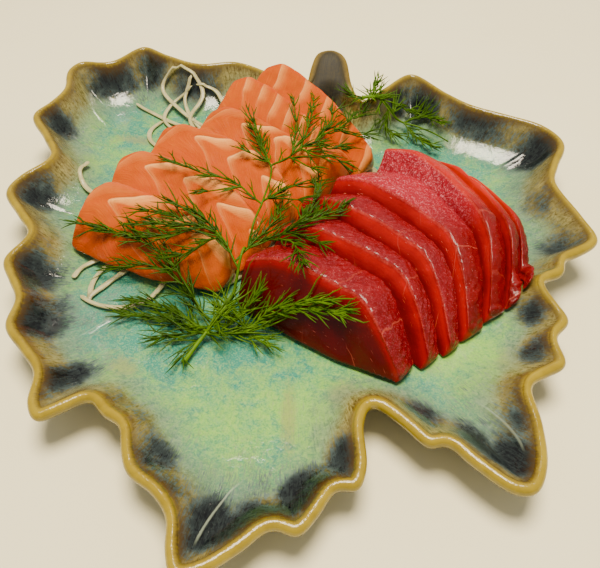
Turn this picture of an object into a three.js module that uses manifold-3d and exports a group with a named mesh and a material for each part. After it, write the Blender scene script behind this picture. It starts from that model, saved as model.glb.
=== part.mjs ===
// A plate of sashimi: a leaf-shaped glazed dish with a curled-up stem, a fan of six salmon slices
// on a bed of shredded daikon, a fan of seven tuna slices, and two sprigs of dill.
// Millimetres, +Z up, the origin at the middle of the dish's flat foot, the stem towards +Y.
import * as THREE from 'three';
import { mergeVertices } from 'three/addons/utils/BufferGeometryUtils.js';
import Module from 'manifold-3d';

const wasm = await Module();
wasm.setup();

// ---------------------------------------------------------------- driving dimensions

const GAP = 0.35; // clearance between pieces that lie on each other

// The dish: the leaf's edge seen from above, clockwise from the valley right of the stem.
// Each pair is a tooth's tip, a valley, or a turn of the edge between them.
const LEAF = [
  // back right lobe
  [35, 84], [45, 95], [60, 108], [76, 90], [86, 80], [101, 72], [116, 63], [122, 50], [115, 34],
  // right side
  [111, 23], [116, 1], [118, -12], [109, -19], [103, -22], [100, -29], [92, -33], [94, -43],
  [96, -51], [90, -58], [90, -69], [83, -73], [77, -77],
  // front right lobe, to the sinus beside the middle lobe
  [77, -90], [75, -104], [70, -112], [64, -112], [53, -103], [47, -97], [42, -98], [34, -90],
  [26, -84],
  // middle lobe
  [23, -90], [23, -104], [20, -111], [14, -111], [9, -118], [3, -124], [-4, -122], [-12, -128],
  [-22, -134], [-29, -135], [-32, -128], [-33, -119], [-38, -112], [-46, -106], [-49, -99],
  [-51, -91], [-57, -87], [-62, -82],
  // front left lobe and left side
  [-70, -86], [-77, -89], [-81, -83], [-82, -72], [-89, -63], [-97, -53], [-97, -41],
  [-102, -32], [-107, -22], [-102, -8], [-109, 3], [-118, 17], [-115, 27], [-106, 40],
  // back left lobe
  [-112, 54], [-122, 72], [-117, 82], [-113, 94], [-115, 112], [-110, 120], [-95, 120],
  [-80, 136], [-66, 127], [-48, 118], [-30, 120], [-14, 111], [6, 92],
  // stem
  [9, 99], [13, 107], [20, 109], [26, 103], [29, 92],
];
const EDGE_STEPS = 12; // fine points between two of the leaf's points
const EDGE_PICK = 6; // every so many fine points carry a column of the dish's mesh
const EDGE_ROUNDING = 1.3; // how far the edge is softened, mm
const FLOOR_TOP = 7; // height of the dish's floor
const RIM_FRONT = 17; // height of the rim at the front tips
const RIM_BACK = 27; // height of the rim at the back
const RIM_SPAN = [-115, 130]; // where along Y the rim goes from its front to its back height
const BEAD = 2.1; // radius of the rolled rim
const BEAD_SMOOTHING = [1.2, 1.8]; // of the rings over the bead and at its inner side
const LIP_DROP = 2.4; // how far the bead's inner side lies under its top at least
const BEAD_DEPTH = 4.6; // from the bead's top to its underside
const UNDERCUT = 1.8; // how much further down the wall starts behind the bead
const WALL_REACH = 26; // how far in from the edge the wall meets the floor
const WALL_THICKNESS = 5;
const HEART = [0, 5]; // middle of the smooth inner curve that the dish's rings shrink to
const HEART_SMOOTHING = 35;
const HEART_SCALE = 0.45;
const UPPER_RINGS = [1, 0.6, 0.4, 0.25, 0.12]; // how far in, between the edge and the heart
const LOWER_RINGS = [0.2, 0.4, 0.55];
const FOOT_RING = 0.58;
const STEM = {
  x: 18, halfWidth: 14, fade: 8, from: 84, full: 93, to: 106, rise: 12, thickness: 8, dome: 2,
};

// The fish: each fan is a row of leaning cuts, and the slice between two cuts is one piece.
// A cut is given by its top edge and its foot, each from the left to the right end as seen from
// above, by its height over the base, and by how far both bow towards the back.
const SALMON = {
  base: FLOOR_TOP + 3.2,
  drop: 13,
  cuts: [
    { top: [-80, 16, -20, -21], foot: [-90, -5, -25, -31], height: 20, bow: [3, -4] },
    { top: [-73, 38, -9, -9], foot: [-83, 14, -18, -22], height: 20, bow: [7, 2] },
    { top: [-57, 59, 3, 11], foot: [-72, 35, -7, -6], height: 20, bow: [7, 3] },
    { top: [-37, 72, 15, 23], foot: [-56, 49, 4, 7], height: 21, bow: [6, 3] },
    { top: [-27, 98, 18, 27], foot: [-46, 70, 10, 13], height: 24, bow: [5.5, 3] },
    { top: [-11, 104, 46, 50], foot: [-33, 83, 28, 35], height: 27, bow: [0, 1] },
    { top: [1, 109, 60, 58], foot: [-22, 90, 45, 43], height: 27, bow: [-1, 1] },
  ],
  curl: [1.5, 1.1], // how the front face curves, of the first cut and of the others
  leftEnd: { height: 0.8, span: 0.14 },
  rightEnd: { height: 0.8, span: 0.3 },
  lastEnd: { height: 0.5, span: 0.9 },
};
const TUNA = {
  base: FLOOR_TOP + GAP,
  drop: 5,
  cuts: [
    { top: [-15, -26, 40, -66], foot: [-21, -35, 36, -72], height: 23, bow: [4, -2] },
    { top: [-2, -9, 54, -56], foot: [-12, -19, 45, -65], height: 23, bow: [5, 3] },
    { top: [6, 9, 63, -49], foot: [-3, -4, 53, -60], height: 23, bow: [5, 4] },
    { top: [20, 23, 71, -43], foot: [10, 12, 60, -53], height: 23, bow: [6, 5] },
    { top: [42, 43, 79, -38], foot: [32, 30, 69, -45], height: 24, bow: [7, 6] },
    { top: [59, 38, 83, -38], foot: [53, 30, 77, -41], height: 21, bow: [8, 8] },
    { top: [66, 34, 86, -34], foot: [60, 28, 82, -37], height: 17, bow: [10, 9] },
    { top: [71, 30, 89, -30], foot: [67, 26, 87, -32], height: 14, bow: [12, 11] },
  ],
  curl: [1.2, 1.1],
  leftEnd: { height: 0.8, span: 0.22 },
  rightEnd: { height: 0.25, span: 0.38 },
  lastEnd: { height: 0.3, span: 0.45 },
};

// The shredded daikon: a bed under the salmon, a bank behind its last slice, and loose strips that
// come out from under it. The bed's outline and the strips are given as seen from above; a strip's
// third number is its height, which is raised where the dish needs it.
const BED = {
  top: SALMON.base - GAP,
  outline: [
    [-84, -3], [-72, -10], [-55, -17], [-38, -21], [-27, -26], [-18, -19], [-8, -5], [2, 9], [22, 31],
    [40, 46], [12, 72], [-14, 94], [-26, 82], [-42, 68], [-52, 49], [-67, 34], [-78, 14],
  ],
};
const BANK = {
  from: 0.33, to: 0.62, steps: 3, rise: 10, crest: 2, shoulder: 5, reach: 12, root: 6, below: 3,
  sunk: 0.25, clear: [0.55, 0.85],
};
const STRIP = { width: 2.2, thickness: 1.2, step: 6 };
const STRIPS = [
  [[-34, 78, 9], [-50, 90, 9], [-60, 101, 11], [-71, 115, 15], [-62, 118, 19], [-51, 112, 20], [-44, 107, 16],
    [-48, 100, 12], [-54, 92, 10], [-44, 76, 9]],
  [[-46, 74, 9], [-58, 82, 8.5], [-66, 94, 8.5], [-61, 105, 12], [-52, 109, 15]],
  [[-52, 112, 18], [-56, 106, 14], [-54, 98, 10], [-46, 84, 8.5], [-38, 76, 8.6]],
  [[-50, 109, 19], [-40, 107, 17], [-34, 96, 12], [-27, 84, 8.8]],
  [[-66, 92, 8], [-71, 84, 8], [-70, 75, 8], [-58, 62, 8.5], [-48, 56, 8.8]],
  [[-93, 50, 13], [-95, 42, 13], [-91, 33, 11], [-80, 27, 8.8], [-68, 22, 8.8]],
  [[-84, -21, 9], [-81, -14, 8.6], [-72, -8, 8.8]],
  [[-75, -32, 8.5], [-76, -24, 8.5], [-73, -15, 8.7], [-66, -9, 8.8]],
  [[-76, -31, 8.5], [-69, -22, 8.5], [-62, -14, 8.8]],
  [[-79, -30, 8.5], [-73, -34, 8.5], [-64, -36, 8.5], [-55, -34, 8.5], [-50, -27, 8.6], [-47, -18, 8.8]],
  [[-82, 106, 9], [-72, 99, 8], [-62, 91, 8], [-52, 84, 8.5], [-44, 72, 8.7]],
];

// The dill: a sprig is a main stem and its branches, each given by points from its foot to its tip.
// A branch starts at the nearest point of what grows already.
const DILL_FRONT = [
  [[-36, -62, 9], [-33, -56, 10], [-29, -50, 11.5], [-25, -44, 14], [-20, -37, 17], [-17, -28, 22],
    [-14, -13, 27], [-11, -2, 30], [-8, 13, 31.5], [-8, 21, 31]],
  [[-31, -46, 13], [-42, -28, 12], [-54, -23, 13], [-68, -20, 12]],
  [[-31, -45, 13], [-46, -22, 20], [-62, -12, 22], [-82, -4, 22]],
  [[-30, -49, 12], [-46, -37, 9], [-58, -34, 10]],
  [[-30, -50, 12], [-47, -42, 9], [-61, -40, 10]],
  [[-30, -51, 12], [-39, -50, 10], [-46, -52, 10]],
  [[-31, -53, 11], [-34, -55, 10], [-37, -60, 10]],
  [[-30, -51, 12], [-19, -49, 10], [-9, -45, 11], [4, -47, 19], [14, -50, 28]],
  [[-13, -48, 11], [-2, -47, 11], [9, -50, 18], [20, -56, 25]],
  [[-22, -51, 11], [-14, -51, 10], [-8, -54, 10]],
  [[-24, -50, 12], [-19, -43, 12], [-12, -40, 14]],
  [[-15, -48, 11], [-18, -45, 12], [-22, -43, 12]],
  [[-17, -28, 22], [-27, -18, 29], [-45, -12, 28], [-60, -9, 26]],
  [[-24, -20, 28], [-34, -10, 31], [-44, -5, 33]],
  [[-38, -14, 29], [-47, -7, 29], [-55, -6, 30]],
  [[-32, -16, 29], [-47, -16, 26], [-60, -13, 24]],
  [[-24, -20, 28], [-32, -22, 25], [-41, -23, 23]],
  [[-17, -27, 22], [-7, -17, 24], [2, -15, 30.2], [11, -3, 27]],
  [[3, -14, 28], [10, 4, 24], [11, 15, 26]],
  [[3, -14, 28], [11, -12, 29], [18, -6, 28]],
  [[-5, -16, 25], [1, -24, 27], [4, -38, 33]],
  [[0, -15, 27], [6, -19, 27], [11, -23, 27]],
  [[-12, -20, 23], [-8, -14, 28], [-4, 2, 24]],
  [[-11, -2, 30], [-24, 12, 29], [-37, 16, 32], [-50, 24, 32]],
  [[-20, 8, 29], [-27, 7, 30], [-33, 7, 29]],
  [[-11, -1, 30], [-1, 11, 28], [10, 17, 26]],
  [[-9, 2, 30], [-3, 6, 26], [4, 3, 28]],
  [[-8, 21, 31], [-12, 35, 30], [-17, 50, 30]],
  [[-10, 27, 31], [-14, 46, 29], [-18, 55, 33]],
  [[-9, 24, 31], [-14, 28, 30], [-18, 31, 31]],
  [[-8, 21, 31], [0, 32, 28], [10, 36, 32], [22, 50, 31], [34, 77, 22]],
  [[5, 34, 30], [8, 49, 35], [10, 69, 34]],
  [[1, 32, 29], [2, 49, 32], [1, 60, 36]],
  [[12, 38, 32], [17, 52, 30], [18, 60, 33]],
  [[20, 48, 31], [25, 49, 28], [32, 49, 28]],
  [[10, 37, 32], [16, 31, 32], [22, 37, 27]],
  [[5, 34, 30], [12, 27, 31], [21, 27, 28]],
  [[-1, 30, 29], [3, 28, 28], [9, 22, 29]],
];
const DILL_BACK = [
  [[33, 80, 21], [48, 81, 15], [61, 79, 13], [74, 66, 13]],
  [[36, 80, 20], [38, 83, 27], [41, 92, 30]],
  [[36, 80, 20], [32, 81, 25], [28, 84, 28]],
  [[45, 81, 17], [52, 88, 17], [59, 88, 16]],
  [[41, 80, 18], [45, 75, 15], [49, 72, 13]],
  [[54, 82, 13], [59, 74, 11], [66, 65, 11]],
  [[54, 82, 13], [63, 85, 14], [71, 76, 17]],
];
const STEM_RADII = [1.1, 0.7]; // of a sprig's main stem, at its foot and its tip
const STEM_SIDES = 5;
const STEM_STEP = 5; // length of a main stem's stretch
const BRANCH = { step: 4, width: 0.9, thickness: 0.8, tip: 0.55 };
const NEEDLE = {
  spacing: 8, foot: 1.1, length: 10, shortest: 4, lift: 0.12, steepest: 0.4, bare: 6, seed: 29,
  spread: [0.5, 0.85], vary: [0.7, 1.1], towardsTip: 0.55,
};
const LIE = 1.2; // how far the middle of a branch or a needle keeps off what it lies on

// ---------------------------------------------------------------- materials

function finish(color, roughness, metalness = 0) {
  return new THREE.MeshStandardMaterial({ color, roughness, metalness });
}
const GLAZE = finish(0x7fae9c, 0.2);
const SALMON_FLESH = finish(0xf58a4b, 0.35);
const TUNA_FLESH = finish(0xb01d2b, 0.35);
const RADISH = finish(0xe8e6d8, 0.4);
const HERB = finish(0x4f8a2e, 0.55);

// ---------------------------------------------------------------- small maths

const mix = (a, b, t) => a + (b - a) * t;
const clamp = (v, lo, hi) => Math.min(hi, Math.max(lo, v));
function smoothstep(lo, hi, v) {
  const t = clamp((v - lo) / (hi - lo), 0, 1);
  return t * t * (3 - 2 * t);
}

const SMALL_LOOP = 7;

// A closed body from a row of closed loops of points, each joined to the next. An end is closed by
// a fan: from its first point if the loop is small, otherwise round its middle.
function loft(loops) {
  const count = loops[0].length;
  const points = loops.flat();
  const index = [];
  for (let row = 0; row < loops.length - 1; row += 1) {
    for (let i = 0; i < count; i += 1) {
      const j = (i + 1) % count;
      const a = row * count + i;
      const b = row * count + j;
      index.push(a, b, b + count, a, b + count, a + count);
    }
  }
  const ends = [[loops[0], 0, true], [loops[loops.length - 1], (loops.length - 1) * count, false]];
  for (const [loop, start, first] of ends) {
    if (count <= SMALL_LOOP) {
      for (let i = 1; i < count - 1; i += 1) {
        index.push(...(first ? [start, start + i + 1, start + i] : [start, start + i, start + i + 1]));
      }
      continue;
    }
    const middle = new THREE.Vector3();
    loop.forEach((p) => middle.addScaledVector(p, 1 / count));
    const hub = points.push(middle) - 1;
    for (let i = 0; i < count; i += 1) {
      const a = start + i;
      const b = start + ((i + 1) % count);
      index.push(...(first ? [hub, b, a] : [hub, a, b]));
    }
  }
  return closed(points, index);
}
function closed(points, index) {
  const geometry = new THREE.BufferGeometry();
  geometry.setFromPoints(points);
  geometry.setIndex(index);
  return geometry;
}

// ---------------------------------------------------------------- the dish

// A closed centripetal Catmull-Rom curve through the leaf's points, softened.
function leafEdge() {
  const points = LEAF.map(([x, y]) => new THREE.Vector3(x, y, 0));
  const curve = new THREE.CatmullRomCurve3(points, true, 'centripetal');
  const fine = curve.getPoints(LEAF.length * EDGE_STEPS).slice(0, -1);
  return soften(fine.map((p) => new THREE.Vector2(p.x, p.y)), EDGE_ROUNDING);
}

// A closed curve averaged along its own length with a bell of the given width.
function soften(curve, width) {
  const n = curve.length;
  const along = [0];
  for (let i = 1; i <= n; i += 1) along.push(along[i - 1] + curve[i % n].distanceTo(curve[i - 1]));
  const length = along[n];
  const share = curve.map((_, i) => (along[i + 1] - along[(i + n - 1) % n]) / 2);
  share[0] = (along[1] + length - along[n - 1]) / 2;
  return curve.map((_, i) => {
    const sum = new THREE.Vector2();
    let total = 0;
    curve.forEach((q, j) => {
      const apart = Math.abs(along[i] - along[j]);
      const d = Math.min(apart, length - apart) / width;
      const weight = d < 4 ? share[j] * Math.exp(-0.5 * d * d) : 0;
      sum.addScaledVector(q, weight);
      total += weight;
    });
    return sum.divideScalar(total);
  });
}

// A closed clockwise curve moved inwards by the given distance.
function inset(curve, distance) {
  const n = curve.length;
  return curve.map((p, i) => {
    const along = curve[(i + 1) % n].clone().sub(curve[(i + n - 1) % n]).normalize();
    return new THREE.Vector2(p.x + along.y * distance, p.y - along.x * distance);
  });
}

const edge = leafEdge();
const beadRing = inset(soften(edge, BEAD_SMOOTHING[0]), BEAD);
const lipRing = inset(soften(edge, BEAD_SMOOTHING[1]), 2 * BEAD);
const heartRing = soften(edge, HEART_SMOOTHING).map((p) => new THREE.Vector2(
  mix(HEART[0], p.x, HEART_SCALE),
  mix(HEART[1], p.y, HEART_SCALE),
));
const ringAt = (u) => lipRing.map((p, i) => p.clone().lerp(heartRing[i], u));
const picked = (curve) => curve.filter((_, i) => i % EDGE_PICK === 0);

// How far a point lies inside the leaf's edge.
function edgeDistance(p) {
  let best = Infinity;
  const n = edge.length;
  for (let i = 0; i < n; i += 2) {
    const a = edge[i];
    const b = edge[(i + 2) % n];
    const dx = b.x - a.x;
    const dy = b.y - a.y;
    const t = clamp(((p.x - a.x) * dx + (p.y - a.y) * dy) / (dx * dx + dy * dy), 0, 1);
    best = Math.min(best, Math.hypot(p.x - a.x - dx * t, p.y - a.y - dy * t));
  }
  return best;
}

const acrossStem = (p) => 1
  - smoothstep(STEM.halfWidth, STEM.halfWidth + STEM.fade, Math.abs(p.x - STEM.x));
const stemShare = (p) => smoothstep(STEM.from, STEM.full, p.y) * acrossStem(p);
function rimHeight(p) {
  const t = clamp((p.y - RIM_SPAN[0]) / (RIM_SPAN[1] - RIM_SPAN[0]), 0, 1);
  return mix(RIM_FRONT, RIM_BACK, t) + STEM.rise * smoothstep(STEM.from, STEM.to, p.y) * acrossStem(p);
}
// The dish's upper face: a flat floor, then a wall that curves up to the rim; the stem is domed.
function upperHeight(p) {
  const inward = clamp(1 - edgeDistance(p) / WALL_REACH, 0, 1);
  const wall = FLOOR_TOP + (rimHeight(p) - FLOOR_TOP) * inward * inward;
  const dome = rimHeight(p) + STEM.dome * (1 - inward);
  return mix(wall, dome, stemShare(p));
}
const lowerHeight = (p) => upperHeight(p) - mix(WALL_THICKNESS, STEM.thickness, stemShare(p));

function buildDish() {
  const raise = (curve, height) => picked(curve).map((p) => new THREE.Vector3(p.x, p.y, height(p)));
  const upper = UPPER_RINGS.map((u) => raise(ringAt(u), upperHeight));
  const lower = LOWER_RINGS.map((u) => raise(ringAt(u), lowerHeight));
  const loops = [
    ...upper,
    raise(lipRing, (p) => Math.max(upperHeight(p), rimHeight(p) - LIP_DROP)),
    raise(beadRing, rimHeight),
    raise(edge, (p) => rimHeight(p) - BEAD),
    raise(beadRing, (p) => rimHeight(p) - BEAD_DEPTH),
    raise(lipRing, (p) => Math.min(rimHeight(p) - BEAD_DEPTH - UNDERCUT, lowerHeight(p))),
    ...lower,
    raise(ringAt(FOOT_RING), () => 0),
  ];
  return loft(loops);
}

// ---------------------------------------------------------------- heights of what is laid down

// The highest point of a set of geometries over each square millimetre.
class Relief {
  constructor() {
    this.half = 150;
    this.side = 2 * this.half + 1;
    this.heights = new Float32Array(this.side * this.side).fill(-1);
  }

  add(geometry) {
    const position = geometry.getAttribute('position');
    const index = geometry.getIndex().array;
    const corner = [0, 1, 2].map(() => new THREE.Vector3());
    for (let t = 0; t < index.length; t += 3) {
      corner.forEach((c, k) => c.fromBufferAttribute(position, index[t + k]));
      this.fillTriangle(...corner);
    }
  }

  fillTriangle(a, b, c) {
    const area = (b.x - a.x) * (c.y - a.y) - (b.y - a.y) * (c.x - a.x);
    if (Math.abs(area) < 1e-6) return;
    const x0 = Math.floor(Math.min(a.x, b.x, c.x));
    const x1 = Math.ceil(Math.max(a.x, b.x, c.x));
    const y0 = Math.floor(Math.min(a.y, b.y, c.y));
    const y1 = Math.ceil(Math.max(a.y, b.y, c.y));
    for (let x = x0; x <= x1; x += 1) {
      for (let y = y0; y <= y1; y += 1) {
        const v = ((x - a.x) * (c.y - a.y) - (y - a.y) * (c.x - a.x)) / area;
        const w = ((b.x - a.x) * (y - a.y) - (b.y - a.y) * (x - a.x)) / area;
        if (v > -0.02 && w > -0.02 && v + w < 1.02) {
          const z = a.z + v * (b.z - a.z) + w * (c.z - a.z);
          const cell = (y + this.half) * this.side + x + this.half;
          this.heights[cell] = Math.max(this.heights[cell], z);
        }
      }
    }
  }

  // The highest of the cells round a point.
  at(x, y, margin = 0) {
    let top = -1;
    for (let i = Math.floor(x - margin); i <= Math.ceil(x + margin); i += 1) {
      for (let j = Math.floor(y - margin); j <= Math.ceil(y + margin); j += 1) {
        top = Math.max(top, this.heights[(j + this.half) * this.side + i + this.half]);
      }
    }
    return top;
  }
}

// ---------------------------------------------------------------- the fish

// A point of the k-th cut of a fan: `a` goes along the cut, `h` is the height above its base.
// It moves from the cut's foot to its top edge as `h` rises.
function cutPoint(fan, k, a, h) {
  const { top, foot, height, bow } = fan.cuts[k];
  const rise = (h / height) ** fan.curl[Math.min(k, 1)];
  return along(foot, bow[1], a).lerp(along(top, bow[0], a), rise);
}
// A point of a line that bows sideways in the shape of a flat arch.
function along([x0, y0, x1, y1], bow, a) {
  const length = Math.hypot(x1 - x0, y1 - y0);
  const side = (4 * bow * a * (1 - a)) / length;
  return new THREE.Vector2(mix(x0, x1, a) - (y1 - y0) * side, mix(y0, y1, a) + (x1 - x0) * side);
}
// Where along cut k + 1 a slice's back lies that is at `a` on cut k.
function alongNext(fan, k, a) {
  const p = cutPoint(fan, k, a, fan.cuts[k].height / 2);
  const from = cutPoint(fan, k + 1, 0, fan.cuts[k].height / 2);
  const to = cutPoint(fan, k + 1, 1, fan.cuts[k].height / 2).sub(from);
  return p.sub(from).dot(to) / to.lengthSq();
}
// Height of a slice's top edge: lower towards its two ends, which are rounded off.
function topHeight(fan, k, a) {
  const last = k === fan.cuts.length - 2;
  const right = last ? fan.lastEnd : fan.rightEnd;
  const near = (end, t) => mix(end.height, 1, Math.sqrt(smoothstep(0, end.span, t)));
  return fan.cuts[k].height * near(fan.leftEnd, a) * near(right, 1 - a);
}

const LEAST_FACE = 3; // the lowest that a slice's front gets at its ends
const BAND_BULGE = 0.8;
const STATIONS = [0, 0.03, 0.12, 0.24, 0.38, 0.52, 0.66, 0.8, 0.91, 0.975, 1];

// The lowest height, on a slice's face, that is clear of the dish.
function settled(fan, point, ground) {
  let h = 0;
  for (let turn = 0; turn < 4; turn += 1) {
    const p = point(h);
    h = Math.max(h, ground.at(p.x, p.y, 1) + 2 * GAP - fan.base);
  }
  return h;
}

// One slice: its front is cut k, its back is cut k + 1, and a narrow top band joins them.
function buildSlice(fan, k, ground) {
  const loops = STATIONS.map((a) => {
    const next = alongNext(fan, k, a);
    const front = (h) => cutPoint(fan, k, a, h);
    const rear = (h) => {
      const p = cutPoint(fan, k + 1, next, h);
      const away = p.clone().sub(front(h)).normalize();
      return p.addScaledVector(away, -2 * GAP);
    };
    const foot = settled(fan, front, ground);
    const heel = settled(fan, rear, ground);
    const top = Math.max(topHeight(fan, k, a), foot + LEAST_FACE);
    const backTop = Math.max(topHeight(fan, k, a) - fan.drop, heel + LEAST_FACE / 2);
    const on = (point, low, high) => (share) => {
      const h = mix(low, high, share);
      return { p: point(h), h };
    };
    const face = on(front, foot, top);
    const back = on(rear, heel, backTop);
    const band = (t) => ({
      p: face(1).p.lerp(back(1).p, t),
      h: mix(top, backTop, t) + BAND_BULGE * Math.sin(Math.PI * t),
    });
    const loop = [
      face(0), face(0.35), face(0.7), face(0.95),
      band(0.12), band(0.5), band(0.9),
      back(0.93), back(0.5), back(0),
    ];
    return loop.map(({ p, h }) => new THREE.Vector3(p.x, p.y, fan.base + h));
  });
  return loft(loops.reverse());
}

// ---------------------------------------------------------------- joining

function solidOf(geometry) {
  return new wasm.Manifold(new wasm.Mesh({
    numProp: 3,
    vertProperties: new Float32Array(geometry.getAttribute('position').array),
    triVerts: new Uint32Array(geometry.getIndex().array),
  }));
}
function joined(geometries) {
  let whole = solidOf(geometries[0]);
  for (const geometry of geometries.slice(1)) whole = whole.add(solidOf(geometry));
  const mesh = whole.getMesh();
  const geometry = new THREE.BufferGeometry();
  geometry.setAttribute('position', new THREE.Float32BufferAttribute(mesh.vertProperties, 3));
  geometry.setIndex(Array.from(mesh.triVerts));
  return mergeVertices(geometry, 1e-5);
}

// A tube along a row of points: `section` gives its outline at a share of the length, as steps
// sideways and upwards.
const tube = (points, section) => loft(tubeLoops(points, section));
function tubeLoops(points, section) {
  const last = points.length - 1;
  return points.map((p, i) => {
    const ahead = points[Math.min(i + 1, last)].clone().sub(points[Math.max(i - 1, 0)]).normalize();
    const side = new THREE.Vector3(-ahead.y, ahead.x, 0).normalize();
    const up = new THREE.Vector3().crossVectors(ahead, side);
    return section(i / last).map(([s, u]) => p.clone().addScaledVector(side, s).addScaledVector(up, u));
  });
}
function roundSection(sides, radius) {
  return Array.from({ length: sides }, (_, i) => {
    const angle = (2 * Math.PI * i) / sides;
    return [radius * Math.cos(angle), radius * Math.sin(angle)];
  });
}
const vector = (p) => new THREE.Vector3(...p);
function evenly(points, step) {
  const curve = new THREE.CatmullRomCurve3(points, false, 'centripetal');
  return curve.getSpacedPoints(Math.max(2, Math.round(curve.getLength() / step)));
}

// ---------------------------------------------------------------- the daikon

function buildBed(ground) {
  const ring = (height) => BED.outline.map(([x, y]) => new THREE.Vector3(x, y, height(x, y)));
  return loft([ring((x, y) => ground.at(x, y, 1) + GAP), ring(() => BED.top)]);
}
// The bank fills the corner between the last slice's back and the dish.
function buildBank(ground) {
  const last = SALMON.cuts.length - 1;
  const loops = Array.from({ length: BANK.steps + 1 }, (_, i) => {
    const a = mix(BANK.from, BANK.to, i / BANK.steps);
    const onCut = (h) => cutPoint(SALMON, last, a, h);
    const back = onCut(BANK.rise).sub(onCut(0)).normalize();
    const beyond = (h, distance) => onCut(h).addScaledVector(back, distance);
    const section = [
      [beyond(0, BANK.reach), -BANK.below],
      [beyond(BANK.rise, BANK.shoulder), BANK.rise / 2], [beyond(BANK.rise, BANK.crest), BANK.rise],
      [beyond(BANK.rise, GAP), BANK.rise], [beyond(0, GAP), 0], [beyond(0, -BANK.root), 0],
      [beyond(0, -BANK.root), -BANK.below],
    ];
    return section.map(([p, h]) => new THREE.Vector3(
      p.x,
      p.y,
      Math.max(BED.top - BANK.sunk + h, ground.at(p.x, p.y, 1) + BANK.clear[h < 0 ? 0 : 1]),
    ));
  });
  return loft(loops);
}
function buildStrip(points, ground) {
  const path = evenly(points.map(vector), STRIP.step);
  path.forEach((p) => {
    p.z = Math.max(p.z, ground.at(p.x, p.y, 1) + STRIP.thickness / 2 + GAP);
  });
  const w = STRIP.width / 2;
  const t = STRIP.thickness / 2;
  return tube(path, () => [[w, t], [-w, t], [-w, -t], [w, -t]]);
}

// ---------------------------------------------------------------- the dill

function randomFrom(seed) {
  let state = seed;
  return () => {
    state = (state * 1664525 + 1013904223) % 4294967296;
    return state / 4294967296;
  };
}
// Keeps a point above what it lies on.
function raised(p, below, radius = 0) {
  return new THREE.Vector3(p.x, p.y, Math.max(p.z, below.at(p.x, p.y, 2) + LIE + radius));
}
// How much a needle's tip has to be lifted for its whole length to be clear.
function liftNeeded(from, tip, below) {
  return Math.max(0, ...[0.25, 0.5, 0.75, 1].map((t) => {
    const p = from.clone().lerp(tip, t);
    return (below.at(p.x, p.y, 1) + LIE - p.z) / t;
  }));
}
function between(points) {
  const shares = [0, 0.25, 0.5, 0.75];
  return points.slice(1).flatMap((p, i) => shares.map((t) => points[i].clone().lerp(p, t)));
}
function nearest(p, points) {
  return points.reduce((best, q) => (q.distanceTo(p) < best.distanceTo(p) ? q : best));
}
function buildSprig(paths, below) {
  const random = randomFrom(NEEDLE.seed);
  const [stemPath, ...branchPaths] = paths.map((path) => path.map(vector));
  const stem = evenly(stemPath, STEM_STEP).map((p) => raised(p, below, STEM_RADII[0]));
  const parts = [tube(stem, (t) => roundSection(STEM_SIDES, mix(STEM_RADII[0], STEM_RADII[1], t)))];
  const grown = between(stem);
  branchPaths.forEach(([first, ...rest]) => {
    const start = nearest(first, grown).clone();
    const [, ...line] = evenly([start, ...rest], BRANCH.step).map((p) => raised(p, below));
    const curve = new THREE.CatmullRomCurve3([start, ...line], false, 'centripetal');
    const frond = buildFrond(curve, below, random);
    grown.push(...between(frond.path));
    parts.push(frond.geometry);
  });
  return joined(parts);
}
// A branch with its needles: a thin four-sided tube, of which every short stretch draws out into a
// point on either side.
function buildFrond(curve, below, random) {
  const length = curve.getLength();
  const pairs = Math.max(1, Math.round((length - NEEDLE.bare) / NEEDLE.spacing));
  const feet = Array.from({ length: pairs }, (_, i) => mix(NEEDLE.bare, length, (i + 0.5) / pairs));
  const stops = [0, ...feet.flatMap((d) => [d - NEEDLE.foot / 2, d + NEEDLE.foot / 2]), length];
  const path = stops.map((d) => curve.getPointAt(d / length));
  const loops = tubeLoops(path, (t) => {
    const w = (BRANCH.width / 2) * mix(1, BRANCH.tip, t);
    const h = (BRANCH.thickness / 2) * mix(1, BRANCH.tip, t);
    return [[w, h], [-w, h], [-w, -h], [w, -h]];
  });
  const positions = loops.flat();
  const index = [0, 2, 1, 0, 3, 2];
  const quad = (a, b, c, d) => index.push(a, b, c, a, c, d);
  for (let row = 0; row < loops.length - 1; row += 1) {
    const t = stops[row] / length;
    for (let i = 0; i < 4; i += 1) {
      const a = row * 4 + i;
      const b = row * 4 + ((i + 1) % 4);
      if (row % 2 === 1 && i % 2 === 1) {
        const turn = (i === 3 ? 1 : -1) * mix(...NEEDLE.spread, random());
        const size = NEEDLE.length * mix(1, NEEDLE.towardsTip, t) * mix(...NEEDLE.vary, random());
        const tip = positions.push(needleTip(curve, t, turn, Math.max(NEEDLE.shortest, size), below)) - 1;
        index.push(a, b, tip, b, b + 4, tip, b + 4, a + 4, tip, a + 4, a, tip);
      } else {
        quad(a, b, b + 4, a + 4);
      }
    }
  }
  const end = loops.length * 4 - 4;
  quad(end, end + 1, end + 2, end + 3);
  return { geometry: closed(positions, index), path };
}
function needleTip(curve, t, turn, size, below) {
  const from = curve.getPointAt(t);
  const ahead = curve.getTangentAt(t);
  const heading = Math.atan2(ahead.y, ahead.x) + turn;
  const away = new THREE.Vector3(Math.cos(heading), Math.sin(heading), ahead.z * 0.5 + NEEDLE.lift);
  away.normalize();
  let reach = size;
  let tip = from.clone().addScaledVector(away, reach);
  while (liftNeeded(from, tip, below) > reach * NEEDLE.steepest && reach > NEEDLE.shortest / 2) {
    reach *= 0.8;
    tip = from.clone().addScaledVector(away, reach);
  }
  tip.z += liftNeeded(from, tip, below);
  return tip;
}

// ---------------------------------------------------------------- the whole

const plate = new THREE.Group();
function place(name, geometry, material) {
  const mesh = new THREE.Mesh(geometry, material);
  mesh.name = name;
  plate.add(mesh);
}

const dish = buildDish();
place('dish', dish, GLAZE);
const ground = new Relief();
ground.add(dish);

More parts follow.
